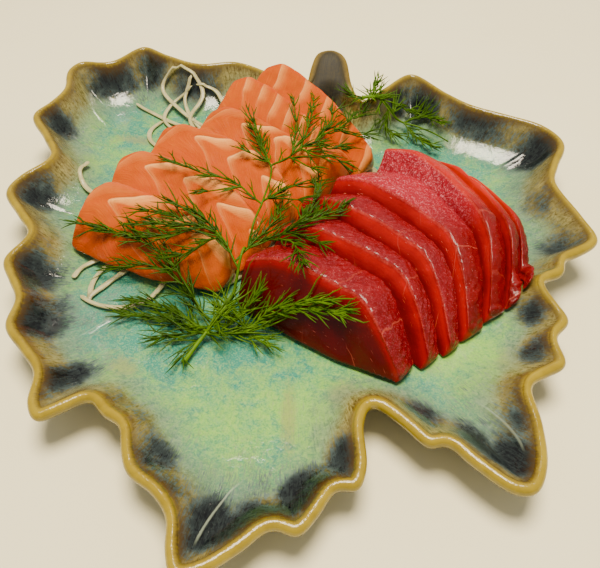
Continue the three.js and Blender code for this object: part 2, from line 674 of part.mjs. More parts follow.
for (let k = 0; k < SALMON.cuts.length - 1; k += 1) {
  place(`salmon_${k + 1}`, buildSlice(SALMON, k, ground), SALMON_FLESH);
}
for (let k = 0; k < TUNA.cuts.length - 1; k += 1) {
  place(`tuna_${k + 1}`, buildSlice(TUNA, k, ground), TUNA_FLESH);
}

const strips = STRIPS.map((points) => buildStrip(points, ground));
place('daikon', joined([buildBed(ground), buildBank(ground), ...strips]), RADISH);

const laid = new Relief();
plate.children.forEach((mesh) => laid.add(mesh.geometry));
const front = buildSprig(DILL_FRONT, laid);
place('dill_front', front, HERB);
laid.add(front);
place('dill_back', buildSprig(DILL_BACK, laid), HERB);

export default plate;
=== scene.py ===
"""A plate of sashimi: a glazed leaf dish, fans of salmon and tuna, shredded daikon and dill.

Lengths are worked out in millimetres and put into the meshes in metres. +Z is up, +Y goes from
the leaf's tip to its stem, and the origin is the middle of the dish's flat foot.
"""

import bpy
import numpy as np
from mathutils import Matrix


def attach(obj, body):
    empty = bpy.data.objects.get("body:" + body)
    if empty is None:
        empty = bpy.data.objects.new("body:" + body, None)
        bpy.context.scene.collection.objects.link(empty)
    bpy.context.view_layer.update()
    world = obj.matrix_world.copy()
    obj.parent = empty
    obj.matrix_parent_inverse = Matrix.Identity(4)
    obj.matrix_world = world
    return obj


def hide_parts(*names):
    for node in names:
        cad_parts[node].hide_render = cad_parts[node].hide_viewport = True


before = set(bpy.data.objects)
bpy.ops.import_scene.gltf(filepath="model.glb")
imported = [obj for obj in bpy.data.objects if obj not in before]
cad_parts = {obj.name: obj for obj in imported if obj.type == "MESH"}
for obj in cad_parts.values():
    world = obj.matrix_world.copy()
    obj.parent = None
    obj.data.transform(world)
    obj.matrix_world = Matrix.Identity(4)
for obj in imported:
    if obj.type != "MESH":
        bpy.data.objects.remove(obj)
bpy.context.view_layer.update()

MM = 0.001

# ---- the dish, as in its solid

LEAF = [
    # back right lobe
    (35, 84), (45, 95), (60, 108), (76, 90), (86, 80), (101, 72), (116, 63), (122, 50), (115, 34),
    # right side
    (111, 23), (116, 1), (118, -12), (109, -19), (103, -22), (100, -29), (92, -33), (94, -43),
    (96, -51), (90, -58), (90, -69), (83, -73), (77, -77),
    # front right lobe
    (77, -90), (75, -104), (70, -112), (64, -112), (53, -103), (47, -97), (42, -98), (34, -90),
    (26, -84),
    # middle lobe
    (23, -90), (23, -104), (20, -111), (14, -111), (9, -118), (3, -124), (-4, -122), (-12, -128),
    (-22, -134), (-29, -135), (-32, -128), (-33, -119), (-38, -112), (-46, -106), (-49, -99),
    (-51, -91), (-57, -87), (-62, -82),
    # front left lobe and left side
    (-70, -86), (-77, -89), (-81, -83), (-82, -72), (-89, -63), (-97, -53), (-97, -41),
    (-102, -32), (-107, -22), (-102, -8), (-109, 3), (-118, 17), (-115, 27), (-106, 40),
    # back left lobe
    (-112, 54), (-122, 72), (-117, 82), (-113, 94), (-115, 112), (-110, 120), (-95, 120),
    (-80, 136), (-66, 127), (-48, 118), (-30, 120), (-14, 111), (6, 92),
    # stem
    (9, 99), (13, 107), (20, 109), (26, 103), (29, 92),
]
EDGE_ROUNDING = 1.3
FLOOR_TOP = 7
RIM_FRONT = 17
RIM_BACK = 27
RIM_SPAN = (-115, 130)
BEAD = 2.1
LIP_INSET = 3.6
LIP_DROP = 1.2
BEAD_DEPTH = 4.6
UNDERCUT = 1.8
WALL_REACH = 26
WALL_THICKNESS = 5
HEART = (0, 5)
HEART_SMOOTHING = 35
HEART_SCALE = 0.45
FOOT_RING = 0.58
STEM = {"x": 18, "half": 14, "fade": 8, "from": 84, "full": 93, "to": 106, "rise": 12,
        "thick": 8, "dome": 2}
COLUMNS = 880

# Raised veins of the leaf, from above: how far each stands up, and how pale it is.
VEINS = [
    (0.9, 0.9, [(-12, -103), (-16, -107), (-19, -112), (-22, -118), (-25, -126)]),
    (0.9, 0.5, [(60, -76), (64, -82), (67, -87), (69, -93), (70, -99)]),
    (0.6, 0.4, [(-63, -37), (-66, -40), (-69, -43), (-76, -50)]),
    (1.0, 0.1, [(-112, 115), (-106, 103), (-98, 92), (-86, 84), (-72, 78)]),
    (0.8, 0.1, [(-112, 76), (-100, 72), (-86, 68), (-72, 64)]),
    (0.7, 0.1, [(-106, 22), (-96, 20), (-86, 19)]),
    (0.7, 0.1, [(112, 58), (98, 52), (84, 46)]),
    (0.7, 0.1, [(60, 100), (56, 88), (52, 78)]),
]
# Where the dark glaze has pooled: place, half length, half width, direction in degrees, depth.
POOLS = [
    (-94, 114, 12, 7, 20, 1.0), (-74, 124, 9, 8, -40, 0.9), (-50, 110, 14, 7, -8, 0.8),
    (-112, 74, 7, 9, 70, 0.9), (-108, 22, 9, 9, 60, 0.9), (-98, -26, 14, 10, 60, 1.0),
    (-89, -46, 14, 9, 70, 1.0), (-73, -70, 12, 5, 50, 1.0), (-39, -98, 8, 7, -50, 0.8),
    (-22, -117, 9, 6, 60, 1.1), (-28, -124, 7, 5, 70, 0.8), (-8, -117, 10, 6, -15, 1.0),
    (3, -108, 8, 5, 50, 1.1), (16, -99, 6, 5, 60, 0.9), (44, -83, 10, 5, -30, 0.8),
    (57, -90, 9, 5, -40, 0.9), (67, -99, 9, 5, -70, 1.2), (72, -86, 12, 5, 85, 0.7),
    (87, -43, 5, 5, 0, 0.9), (83, -60, 6, 5, 20, 0.8), (104, -7, 9, 7, -20, 0.8),
    (104, 17, 8, 10, 80, 0.55), (111, 52, 8, 12, 80, 1.1), (88, 72, 17, 6, -32, 0.85),
    (64, 93, 12, 7, -45, 0.9), (50, 93, 9, 7, 35, 0.9), (18, 99, 12, 8, 90, 1.2),
    (-17, -121, 15, 5, 18, 1.1), (4, -112, 11, 5, 35, 1.1), (19, -101, 8, 5, 55, 1.0),
    (-36, -112, 13, 7, -60, 0.7), (60, -96, 14, 4, -40, 1.0),
    # broad places where it is only flecked with dark
    (-99, -2, 40, 15, 85, 0.32), (-84, -52, 34, 15, 52, 0.36), (-50, -88, 26, 12, -40, 0.34),
    (-104, 62, 34, 14, 75, 0.28), (-84, 112, 34, 15, 30, 0.36), (-12, -110, 34, 13, -8, 0.42),
    (62, -92, 24, 13, -70, 0.42), (98, -16, 34, 11, 70, 0.3), (104, 40, 36, 13, 88, 0.32),
    (76, 84, 40, 12, -36, 0.4),
]
# Where the glaze is pale and warm: the same.
BLUSHES = [
    (0, -82, 3, 16, 0, 1), (-57, -62, 8, 5, -40, 1), (18, -76, 6, 8, 10, 1),
    (-76, 76, 14, 4, -15, 1), (30, -78, 8, 5, 30, 1), (80, 66, 10, 4, -30, 1),
    (76, -62, 6, 8, 0, 1),
]
# Where the sea green turns to lime: the same.
LIMES = [
    (-22, -84, 30, 20, 20, 1.0), (66, -62, 26, 15, -35, 1.0), (94, 22, 14, 26, 0, 0.7),
    (-84, 60, 16, 14, 0, 0.5), (-92, -8, 12, 22, 0, 0.5),
]

# ---- the fish, as in its solids

SALMON = {
    "base": FLOOR_TOP + 3.2, "drop": 13,
    "cuts": [
        ((-80, 16, -20, -21), (-90, -5, -25, -31), 20, (3, -4)),
        ((-73, 38, -9, -9), (-83, 14, -18, -22), 20, (7, 2)),
        ((-57, 59, 3, 11), (-72, 35, -7, -6), 20, (7, 3)),
        ((-37, 72, 15, 23), (-56, 49, 4, 7), 21, (6, 3)),
        ((-27, 98, 18, 27), (-46, 70, 10, 13), 24, (5.5, 3)),
        ((-11, 104, 46, 50), (-33, 83, 28, 35), 27, (0, 1)),
        ((1, 109, 60, 58), (-22, 90, 45, 43), 27, (-1, 1)),
    ],
    "curl": (1.5, 1.1), "left": (0.8, 0.14), "right": (0.8, 0.3), "last": (0.5, 0.9),
}
TUNA = {
    "base": FLOOR_TOP + 0.35, "drop": 5,
    "cuts": [
        ((-15, -26, 40, -66), (-21, -35, 36, -72), 23, (4, -2)),
        ((-2, -9, 54, -56), (-12, -19, 45, -65), 23, (5, 3)),
        ((6, 9, 63, -49), (-3, -4, 53, -60), 23, (5, 4)),
        ((20, 23, 71, -43), (10, 12, 60, -53), 23, (6, 5)),
        ((42, 43, 79, -38), (32, 30, 69, -45), 24, (7, 6)),
        ((59, 38, 83, -38), (53, 30, 77, -41), 21, (8, 8)),
        ((66, 34, 86, -34), (60, 28, 82, -37), 17, (10, 9)),
        ((71, 30, 89, -30), (67, 26, 87, -32), 14, (12, 11)),
    ],
    "curl": (1.2, 1.1), "left": (0.8, 0.22), "right": (0.25, 0.38), "last": (0.3, 0.45),
}
GAP = 0.35
LEAST_FACE = 3
BAND_BULGE = 0.8

# ---- the daikon, as in its solid

BED_TOP = SALMON["base"] - GAP
BED = [
    (-84, -3), (-72, -10), (-55, -17), (-38, -21), (-27, -26), (-18, -19), (-8, -5), (2, 9),
    (22, 31), (40, 46), (12, 72), (-14, 94), (-26, 82), (-42, 68), (-52, 49), (-67, 34), (-78, 14),
]
BANK = {"from": 0.33, "to": 0.62, "rise": 10}
STRIP_WIDTH = 2.2
STRIP_THICKNESS = 1.2
STRIPS = [
    [(-34, 78, 9), (-50, 90, 9), (-60, 101, 11), (-71, 115, 15), (-62, 118, 19), (-51, 112, 20),
     (-44, 107, 16), (-48, 100, 12), (-54, 92, 10), (-44, 76, 9)],
    [(-46, 74, 9), (-58, 82, 8.5), (-66, 94, 8.5), (-61, 105, 12), (-52, 109, 15)],
    [(-52, 112, 18), (-56, 106, 14), (-54, 98, 10), (-46, 84, 8.5), (-38, 76, 8.6)],
    [(-50, 109, 19), (-40, 107, 17), (-34, 96, 12), (-27, 84, 8.8)],
    [(-66, 92, 8), (-71, 84, 8), (-70, 75, 8), (-58, 62, 8.5), (-48, 56, 8.8)],
    [(-93, 50, 13), (-95, 42, 13), (-91, 33, 11), (-80, 27, 8.8), (-68, 22, 8.8)],
    [(-84, -21, 9), (-81, -14, 8.6), (-72, -8, 8.8)],
    [(-75, -32, 8.5), (-76, -24, 8.5), (-73, -15, 8.7), (-66, -9, 8.8)],
    [(-76, -31, 8.5), (-69, -22, 8.5), (-62, -14, 8.8)],
    [(-79, -30, 8.5), (-73, -34, 8.5), (-64, -36, 8.5), (-55, -34, 8.5), (-50, -27, 8.6),
     (-47, -18, 8.8)],
    [(-82, 106, 9), (-72, 99, 8), (-62, 91, 8), (-52, 84, 8.5), (-44, 72, 8.7)],
]

# ---- the dill, as in its solids

DILL_FRONT = [
    [(-36, -62, 9), (-33, -56, 10), (-29, -50, 11.5), (-25, -44, 14), (-20, -37, 17),
     (-17, -28, 22), (-14, -13, 27), (-11, -2, 30), (-8, 13, 31.5), (-8, 21, 31)],
    [(-31, -46, 13), (-42, -28, 12), (-54, -23, 13), (-68, -20, 12)],
    [(-31, -45, 13), (-46, -22, 20), (-62, -12, 22), (-82, -4, 22)],
    [(-30, -49, 12), (-46, -37, 9), (-58, -34, 10)],
    [(-30, -50, 12), (-47, -42, 9), (-61, -40, 10)],
    [(-30, -51, 12), (-39, -50, 10), (-46, -52, 10)],
    [(-31, -53, 11), (-34, -55, 10), (-37, -60, 10)],
    [(-30, -51, 12), (-19, -49, 10), (-9, -45, 11), (4, -47, 19), (14, -50, 28)],
    [(-13, -48, 11), (-2, -47, 11), (9, -50, 18), (20, -56, 25)],
    [(-22, -51, 11), (-14, -51, 10), (-8, -54, 10)],
    [(-24, -50, 12), (-19, -43, 12), (-12, -40, 14)],
    [(-15, -48, 11), (-18, -45, 12), (-22, -43, 12)],
    [(-17, -28, 22), (-27, -18, 29), (-45, -12, 28), (-60, -9, 26)],
    [(-24, -20, 28), (-34, -10, 31), (-44, -5, 33)],
    [(-38, -14, 29), (-47, -7, 29), (-55, -6, 30)],
    [(-32, -16, 29), (-47, -16, 26), (-60, -13, 24)],
    [(-24, -20, 28), (-32, -22, 25), (-41, -23, 23)],
    [(-17, -27, 22), (-7, -17, 24), (2, -15, 30.2), (11, -3, 27)],
    [(3, -14, 28), (10, 4, 24), (11, 15, 26)],
    [(3, -14, 28), (11, -12, 29), (18, -6, 28)],
    [(-5, -16, 25), (1, -24, 27), (4, -38, 33)],
    [(0, -15, 27), (6, -19, 27), (11, -23, 27)],
    [(-12, -20, 23), (-8, -14, 28), (-4, 2, 24)],
    [(-11, -2, 30), (-24, 12, 29), (-37, 16, 32), (-50, 24, 32)],
    [(-20, 8, 29), (-27, 7, 30), (-33, 7, 29)],
    [(-11, -1, 30), (-1, 11, 28), (10, 17, 26)],
    [(-9, 2, 30), (-3, 6, 26), (4, 3, 28)],
    [(-8, 21, 31), (-12, 35, 30), (-17, 50, 30)],
    [(-10, 27, 31), (-14, 46, 29), (-18, 55, 33)],
    [(-9, 24, 31), (-14, 28, 30), (-18, 31, 31)],
    [(-8, 21, 31), (0, 32, 28), (10, 36, 32), (22, 50, 31), (34, 77, 22)],
    [(5, 34, 30), (8, 49, 35), (10, 69, 34)],
    [(1, 32, 29), (2, 49, 32), (1, 60, 36)],
    [(12, 38, 32), (17, 52, 30), (18, 60, 33)],
    [(20, 48, 31), (25, 49, 28), (32, 49, 28)],
    [(10, 37, 32), (16, 31, 32), (22, 37, 27)],
    [(5, 34, 30), (12, 27, 31), (21, 27, 28)],
    [(-1, 30, 29), (3, 28, 28), (9, 22, 29)],
]
DILL_BACK = [
    [(33, 80, 21), (48, 81, 15), (61, 79, 13), (74, 66, 13)],
    [(36, 80, 20), (38, 83, 27), (41, 92, 30)],
    [(36, 80, 20), (32, 81, 25), (28, 84, 28)],
    [(45, 81, 17), (52, 88, 17), (59, 88, 16)],
    [(41, 80, 18), (45, 75, 15), (49, 72, 13)],
    [(54, 82, 13), (59, 74, 11), (66, 65, 11)],
    [(54, 82, 13), (63, 85, 14), (71, 76, 17)],
]
STEM_RADII = (1.1, 0.7)
LIE = 1.2

# ---- small maths


def mix(a, b, t):
    """The value a share t of the way from a to b."""
    return a + (b - a) * t


def smoothstep(low, high, v):
    """0 below low, 1 above high, and 3t^2 - 2t^3 between them."""
    t = np.clip((v - low) / (high - low), 0, 1)
    return t * t * (3 - 2 * t)


def unit(vectors):
    """Vectors divided by their own lengths."""
    return vectors / np.maximum(np.linalg.norm(vectors, axis=-1, keepdims=True), 1e-9)


def packed(*parts):
    """Numbers side by side, as the parts of a vector."""
    return np.stack(np.broadcast_arrays(*parts), -1)


def lifted(places, heights):
    """Places with their heights, as points."""
    return np.concatenate([places, heights[..., None]], -1)


def waves(points, size, seed, count=7):
    """A smooth uneven field: a sum of sines in random directions, with wavelengths near size."""
    random = np.random.default_rng(seed)
    points = np.asarray(points, float)
    heading = unit(random.normal(size=(count, points.shape[-1])))
    rate = 2 * np.pi / (size * random.uniform(0.7, 1.5, count))
    phase = random.uniform(0, 2 * np.pi, count)
    return np.sin(points @ heading.T * rate + phase).sum(-1) / np.sqrt(count)


# ---- curves


def spline(points, closed=False, fine=16):
    """A centripetal Catmull-Rom curve: cubics whose ends turn by the square root of the gaps."""
    p = np.asarray(points, float)
    if closed:
        p0, p1, p2, p3 = np.roll(p, 1, 0), p, np.roll(p, -1, 0), np.roll(p, -2, 0)
    else:
        whole = np.vstack([2 * p[:1] - p[1:2], p, 2 * p[-1:] - p[-2:-1]])
        p0, p1, p2, p3 = whole[:-3], whole[1:-2], whole[2:-1], whole[3:]
    a, b, c = [np.sqrt(np.linalg.norm(v - u, axis=1, keepdims=True))
               for u, v in ((p0, p1), (p1, p2), (p2, p3))]
    start = ((p1 - p0) / a - (p2 - p0) / (a + b) + (p2 - p1) / b) * b
    end = ((p2 - p1) / b - (p3 - p1) / (b + c) + (p3 - p2) / c) * b
    t = (np.arange(fine) / fine)[None, :, None]
    p1, p2, start, end = (v[:, None] for v in (p1, p2, start, end))
    curve = (p1 + start * t + (3 * (p2 - p1) - 2 * start - end) * t ** 2
             + (2 * (p1 - p2) + start + end) * t ** 3).reshape(-1, p.shape[1])
    return curve if closed else np.vstack([curve, p[-1:]])


def evenly(curve, count, closed=False):
    """The curve's points respaced so that equal steps of the index are equal lengths."""
    line = np.vstack([curve, curve[:1]]) if closed else curve
    along = np.concatenate([[0], np.cumsum(np.linalg.norm(np.diff(line, axis=0), axis=1))])
    t = np.arange(count) / (count if closed else count - 1) * along[-1]
    return np.column_stack([np.interp(t, along, line[:, k]) for k in range(line.shape[1])])


def length_of(curve):
    """The sum of the steps between a curve's points."""
    return float(np.linalg.norm(np.diff(curve, axis=0), axis=1).sum())


def soften(curve, width):
    """A closed even curve averaged with a bell of the given width, through its frequencies."""
    total = length_of(np.vstack([curve, curve[:1]]))
    rate = np.fft.fftfreq(len(curve), total / len(curve))
    bell = np.exp(-2 * (np.pi * rate * width) ** 2)
    smooth = np.fft.ifft(np.fft.fft(curve[:, 0] + 1j * curve[:, 1]) * bell)
    return np.column_stack([smooth.real, smooth.imag])


def inset(curve, distance):
    """A clockwise closed curve moved to its right, square to its own direction."""
    ahead = unit(np.roll(curve, -1, 0) - np.roll(curve, 1, 0))
    return curve + distance * np.column_stack([ahead[:, 1], -ahead[:, 0]])


def nearest_distance(points, line):
    """Distance from each point to the nearest of a line's points, in blocks to save memory."""
    spots = points.reshape(-1, 2).astype(np.float32).view(np.complex64).ravel()
    marks = line.astype(np.float32).view(np.complex64).ravel()
    out = np.concatenate([np.abs(part[:, None] - marks[None]).min(1)
                          for part in np.array_split(spots, max(1, len(spots) // 4000))])
    return out.reshape(points.shape[:-1]).astype(float)


# ---- meshes
# A shape is a tuple of points, quads, triangles and values that its finish reads at each point.

NEARLY_UP = (0.05, 0.03, 1.0)


def add_object(name, data):
    """A new object in the scene for a mesh, a light or a camera."""
    thing = bpy.data.objects.new(name, data)
    bpy.context.scene.collection.objects.link(thing)
    return thing


def make_piece(name, shape, material, node):
    """One object from a shape in millimetres, which stands for a node of the frame."""
    points, quads, triangles, values = shape
    mesh = bpy.data.meshes.new(name)
    corners = np.concatenate([quads.ravel(), triangles.ravel()]).astype(np.int32)
    sizes = np.repeat([4, 3], [len(quads), len(triangles)])
    mesh.vertices.add(len(points))
    mesh.vertices.foreach_set("co", (points * MM).astype(np.float32).ravel())
    mesh.loops.add(len(corners))
    mesh.loops.foreach_set("vertex_index", corners)
    mesh.polygons.add(len(sizes))
    mesh.polygons.foreach_set("loop_start", (np.cumsum(sizes) - sizes).astype(np.int32))
    mesh.polygons.foreach_set("use_smooth", np.ones(len(sizes), bool))
    mesh.update(calc_edges=True)
    for key, value in values.items():
        wide = value.ndim > 1
        layer = mesh.attributes.new(key, "FLOAT_VECTOR" if wide else "FLOAT", "POINT")
        layer.data.foreach_set("vector" if wide else "value", value.astype(np.float32).ravel())
    mesh.materials.append(material)
    piece = add_object(name, mesh)
    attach(piece, "root")
    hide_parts(node)


def shell(grids, values, flip=False):
    """The shape of grids of points, each a row of closed loops. Every grid's two end loops close
    onto their middles, which come after all the other points."""
    count, rows, around = grids.shape[:3]
    index = np.arange(count * rows * around).reshape(count, rows, around)
    beside = np.roll(index, -1, 2)
    middle = index.size + np.arange(2 * count).reshape(count, 2, 1) + 0 * index[:, [0, -1]]
    quads = np.stack([index[:, :-1], beside[:, :-1], beside[:, 1:], index[:, 1:]], -1)
    caps = np.stack([np.stack([middle[:, 0], beside[:, 0], index[:, 0]], -1),
                     np.stack([middle[:, 1], index[:, -1], beside[:, -1]], -1)], 1)

    def listed(grid):
        """What belongs to each point of the loops, then the means of the end loops."""
        grid = np.broadcast_to(grid, grids.shape[:3] + grid.shape[3:])
        ends = grid[:, [0, -1]].mean(2)
        return np.concatenate([grid.reshape(-1, *grid.shape[3:]), ends.reshape(-1, *grid.shape[3:])])
    order = slice(None, None, -1 if flip else 1)
    return (listed(grids), quads.reshape(-1, 4)[:, order], caps.reshape(-1, 3)[:, order],
            {key: listed(value) for key, value in values.items()})


def one_shell(grid, values, flip=False):
    """The shape of a single grid."""
    return shell(grid[None], {key: value[None] for key, value in values.items()}, flip)


def tubes(paths, widths, heights, sides):
    """Loops along many paths of one length: ellipses square to each path, with the given half
    axes at each step."""
    ahead = unit(np.gradient(paths, axis=1))
    side = unit(np.cross(np.array(NEARLY_UP), ahead))
    up = np.cross(ahead, side)
    angle = 2 * np.pi * np.arange(sides) / sides
    return (paths[:, :, None] + (widths[..., None] * np.cos(angle))[..., None] * side[:, :, None]
            + (heights[..., None] * np.sin(angle))[..., None] * up[:, :, None])


def gathered(shapes):
    """Several shapes as one, with their points numbered on."""
    first = np.cumsum([0] + [len(shape[0]) for shape in shapes[:-1]])
    quads, triangles = [np.concatenate([shape[part] + n for shape, n in zip(shapes, first)])
                        for part in (1, 2)]
    values = {key: np.concatenate([shape[3][key] for shape in shapes]) for key in shapes[0][3]}
    return np.concatenate([shape[0] for shape in shapes]), quads, triangles, values


class Relief:
    """The highest point of what has been laid down so far, over each square millimetre."""

    HALF = 150  # cells on each side of the middle

    def __init__(self):
        self.heights = np.full((2 * self.HALF + 1,) * 2, -1.0)

    def cell(self, x, margin=0):
        """The row or column of the cells that hold a place, at least a margin from the border."""
        return np.clip(np.rint(x).astype(int) + self.HALF, margin, 2 * self.HALF - margin)

    def add(self, points):
        """Each cell keeps the larger of its height and those of the points over it."""
        np.maximum.at(self.heights, (self.cell(points[:, 0]), self.cell(points[:, 1])), points[:, 2])

    def fill(self, middle, radius, height):
        """Cells nearer than a radius to a middle are at least this high."""
        x, y = np.meshgrid(*[np.arange(-self.HALF, self.HALF + 1)] * 2, indexing="ij")
        near = np.hypot(x - middle[0], y - middle[1]) < radius
        self.heights[near] = np.maximum(self.heights[near], height)

    def under(self, p, margin=1):
        """The highest of the cells up to a margin away from each point."""
        i, j = self.cell(p[..., 0], margin), self.cell(p[..., 1], margin)
        span = range(-margin, margin + 1)
        return np.max([self.heights[i + di, j + dj] for di in span for dj in span], axis=0)


# ---- finishes


def linear_colour(screen):
    """A screen colour, 0 to 255, as the linear colour that a shader works in."""
    share = np.array(screen) / 255
    linear = np.where(share < 0.04045, share / 12.92, ((share + 0.055) / 1.055) ** 2.4)
    return (*(float(v) for v in linear), 1.0)


class Value:
    """A number socket in a finish; Python's operators on it add Math nodes."""

    def __init__(self, finish, socket):
        self.finish = finish
        self.socket = socket

    def math(self, operation, *others, swapped=False):
        """The result of a Math node on this value and others, or on them in reverse."""
        operands = [self, *others]
        if swapped:
            operands.reverse()
        node = self.finish.add("ShaderNodeMath", {"operation": operation},
                               dict(enumerate(operands)))
        return Value(self.finish, node.outputs[0])

    def __add__(self, other):
        return self.math("ADD", other)

    def __sub__(self, other):
        return self.math("SUBTRACT", other)

    def __rsub__(self, other):
        return self.math("SUBTRACT", other, swapped=True)

    def __mul__(self, other):
        return self.math("MULTIPLY", other)

    def __truediv__(self, other):
        return self.math("DIVIDE", other)

    def __pow__(self, other):
        return self.math("POWER", other)

    __radd__ = __add__
    __rmul__ = __mul__

    def held(self):
        """Kept between 0 and 1."""
        return self.math("MAXIMUM", 0).math("MINIMUM", 1)

    def between(self, low, high):
        """0 at low, 1 at high, smooth between them and level beyond."""
        node = self.finish.add(
            "ShaderNodeMapRange", {"interpolation_type": "SMOOTHSTEP"},
            {"Value": self, "From Min": low, "From Max": high, "To Min": 0, "To Max": 1})
        return Value(self.finish, node.outputs[0])


class Finish:
    """A material with one Principled shader, whose nodes are added by name."""

    def __init__(self, name):
        self.material = bpy.data.materials.new(name)
        self.material.use_nodes = True
        self.tree = self.material.node_tree
        self.tree.nodes.clear()
        self.shader = self.add("ShaderNodeBsdfPrincipled")
        self.add("ShaderNodeOutputMaterial", {}, {0: self.shader.outputs[0]})

    def add(self, kind, settings=None, values=None):
        """A node of a kind, with its settings first and then its sockets' values or links."""
        node = self.tree.nodes.new(kind)
        for key, value in (settings or {}).items():
            setattr(node, key, value)
        for key, value in (values or {}).items():
            self.put(node.inputs[key], value)
        return node

    def put(self, socket, value):
        """Links a socket to a value, or sets it to a number, a vector or a screen colour."""
        if isinstance(value, Value):
            value = value.socket
        if isinstance(value, bpy.types.NodeSocket):
            self.tree.links.new(value, socket)
        else:
            socket.default_value = linear_colour(value) if socket.type == "RGBA" else value

    def value(self, name):
        """A number that the mesh carries."""
        return Value(self, self.add("ShaderNodeAttribute", {"attribute_name": name}).outputs["Fac"])

    def vector(self, name, scale=(1, 1, 1)):
        """A vector that the mesh carries, stretched."""
        node = self.add("ShaderNodeAttribute", {"attribute_name": name})
        return self.scaled(node.outputs["Vector"], scale)

    def place(self):
        """Where a point of the piece is, in millimetres."""
        return self.scaled(self.add("ShaderNodeTexCoord").outputs["Object"], (1 / MM,) * 3)

    def scaled(self, vector, scale):
        """A vector multiplied part by part."""
        node = self.add("ShaderNodeVectorMath", {"operation": "MULTIPLY"}, {0: vector, 1: scale})
        return node.outputs[0]

    def noise(self, vector, size, detail=2.0, roughness=0.5, distortion=0.0):
        """Uneven values round one half, in lumps of about the given size."""
        node = self.add("ShaderNodeTexNoise", {}, {
            "Vector": vector, "Scale": 1 / size, "Detail": detail, "Roughness": roughness,
            "Distortion": distortion})
        return Value(self, node.outputs[0])

    def blend(self, share, first, second):
        """The first colour where the share is 0, the second where it is 1."""
        node = self.add("ShaderNodeMix", {"data_type": "RGBA"}, {0: share, 6: first, 7: second})
        return node.outputs[2]

    def under(self, body, *layers):
        """A colour under layers, each a share and the colour that it brings."""
        for share, shade in layers:
            body = self.blend(share, body, shade)
        return body

    def finished(self, relief=None, depth=0.0, **sockets):
        """The material, with the shader's sockets linked or set, and its surface tilted by a
        relief of up to the given depth in millimetres."""
        if relief is not None:
            bump = self.add("ShaderNodeBump", {}, {
                "Height": relief, "Distance": depth * MM, "Strength": 1.0})
            sockets["normal"] = bump.outputs[0]
        for key, value in sockets.items():
            name = key.replace("_", " ").title().replace("Ior", "IOR")
            self.put(self.shader.inputs[name], value)
        return self.material


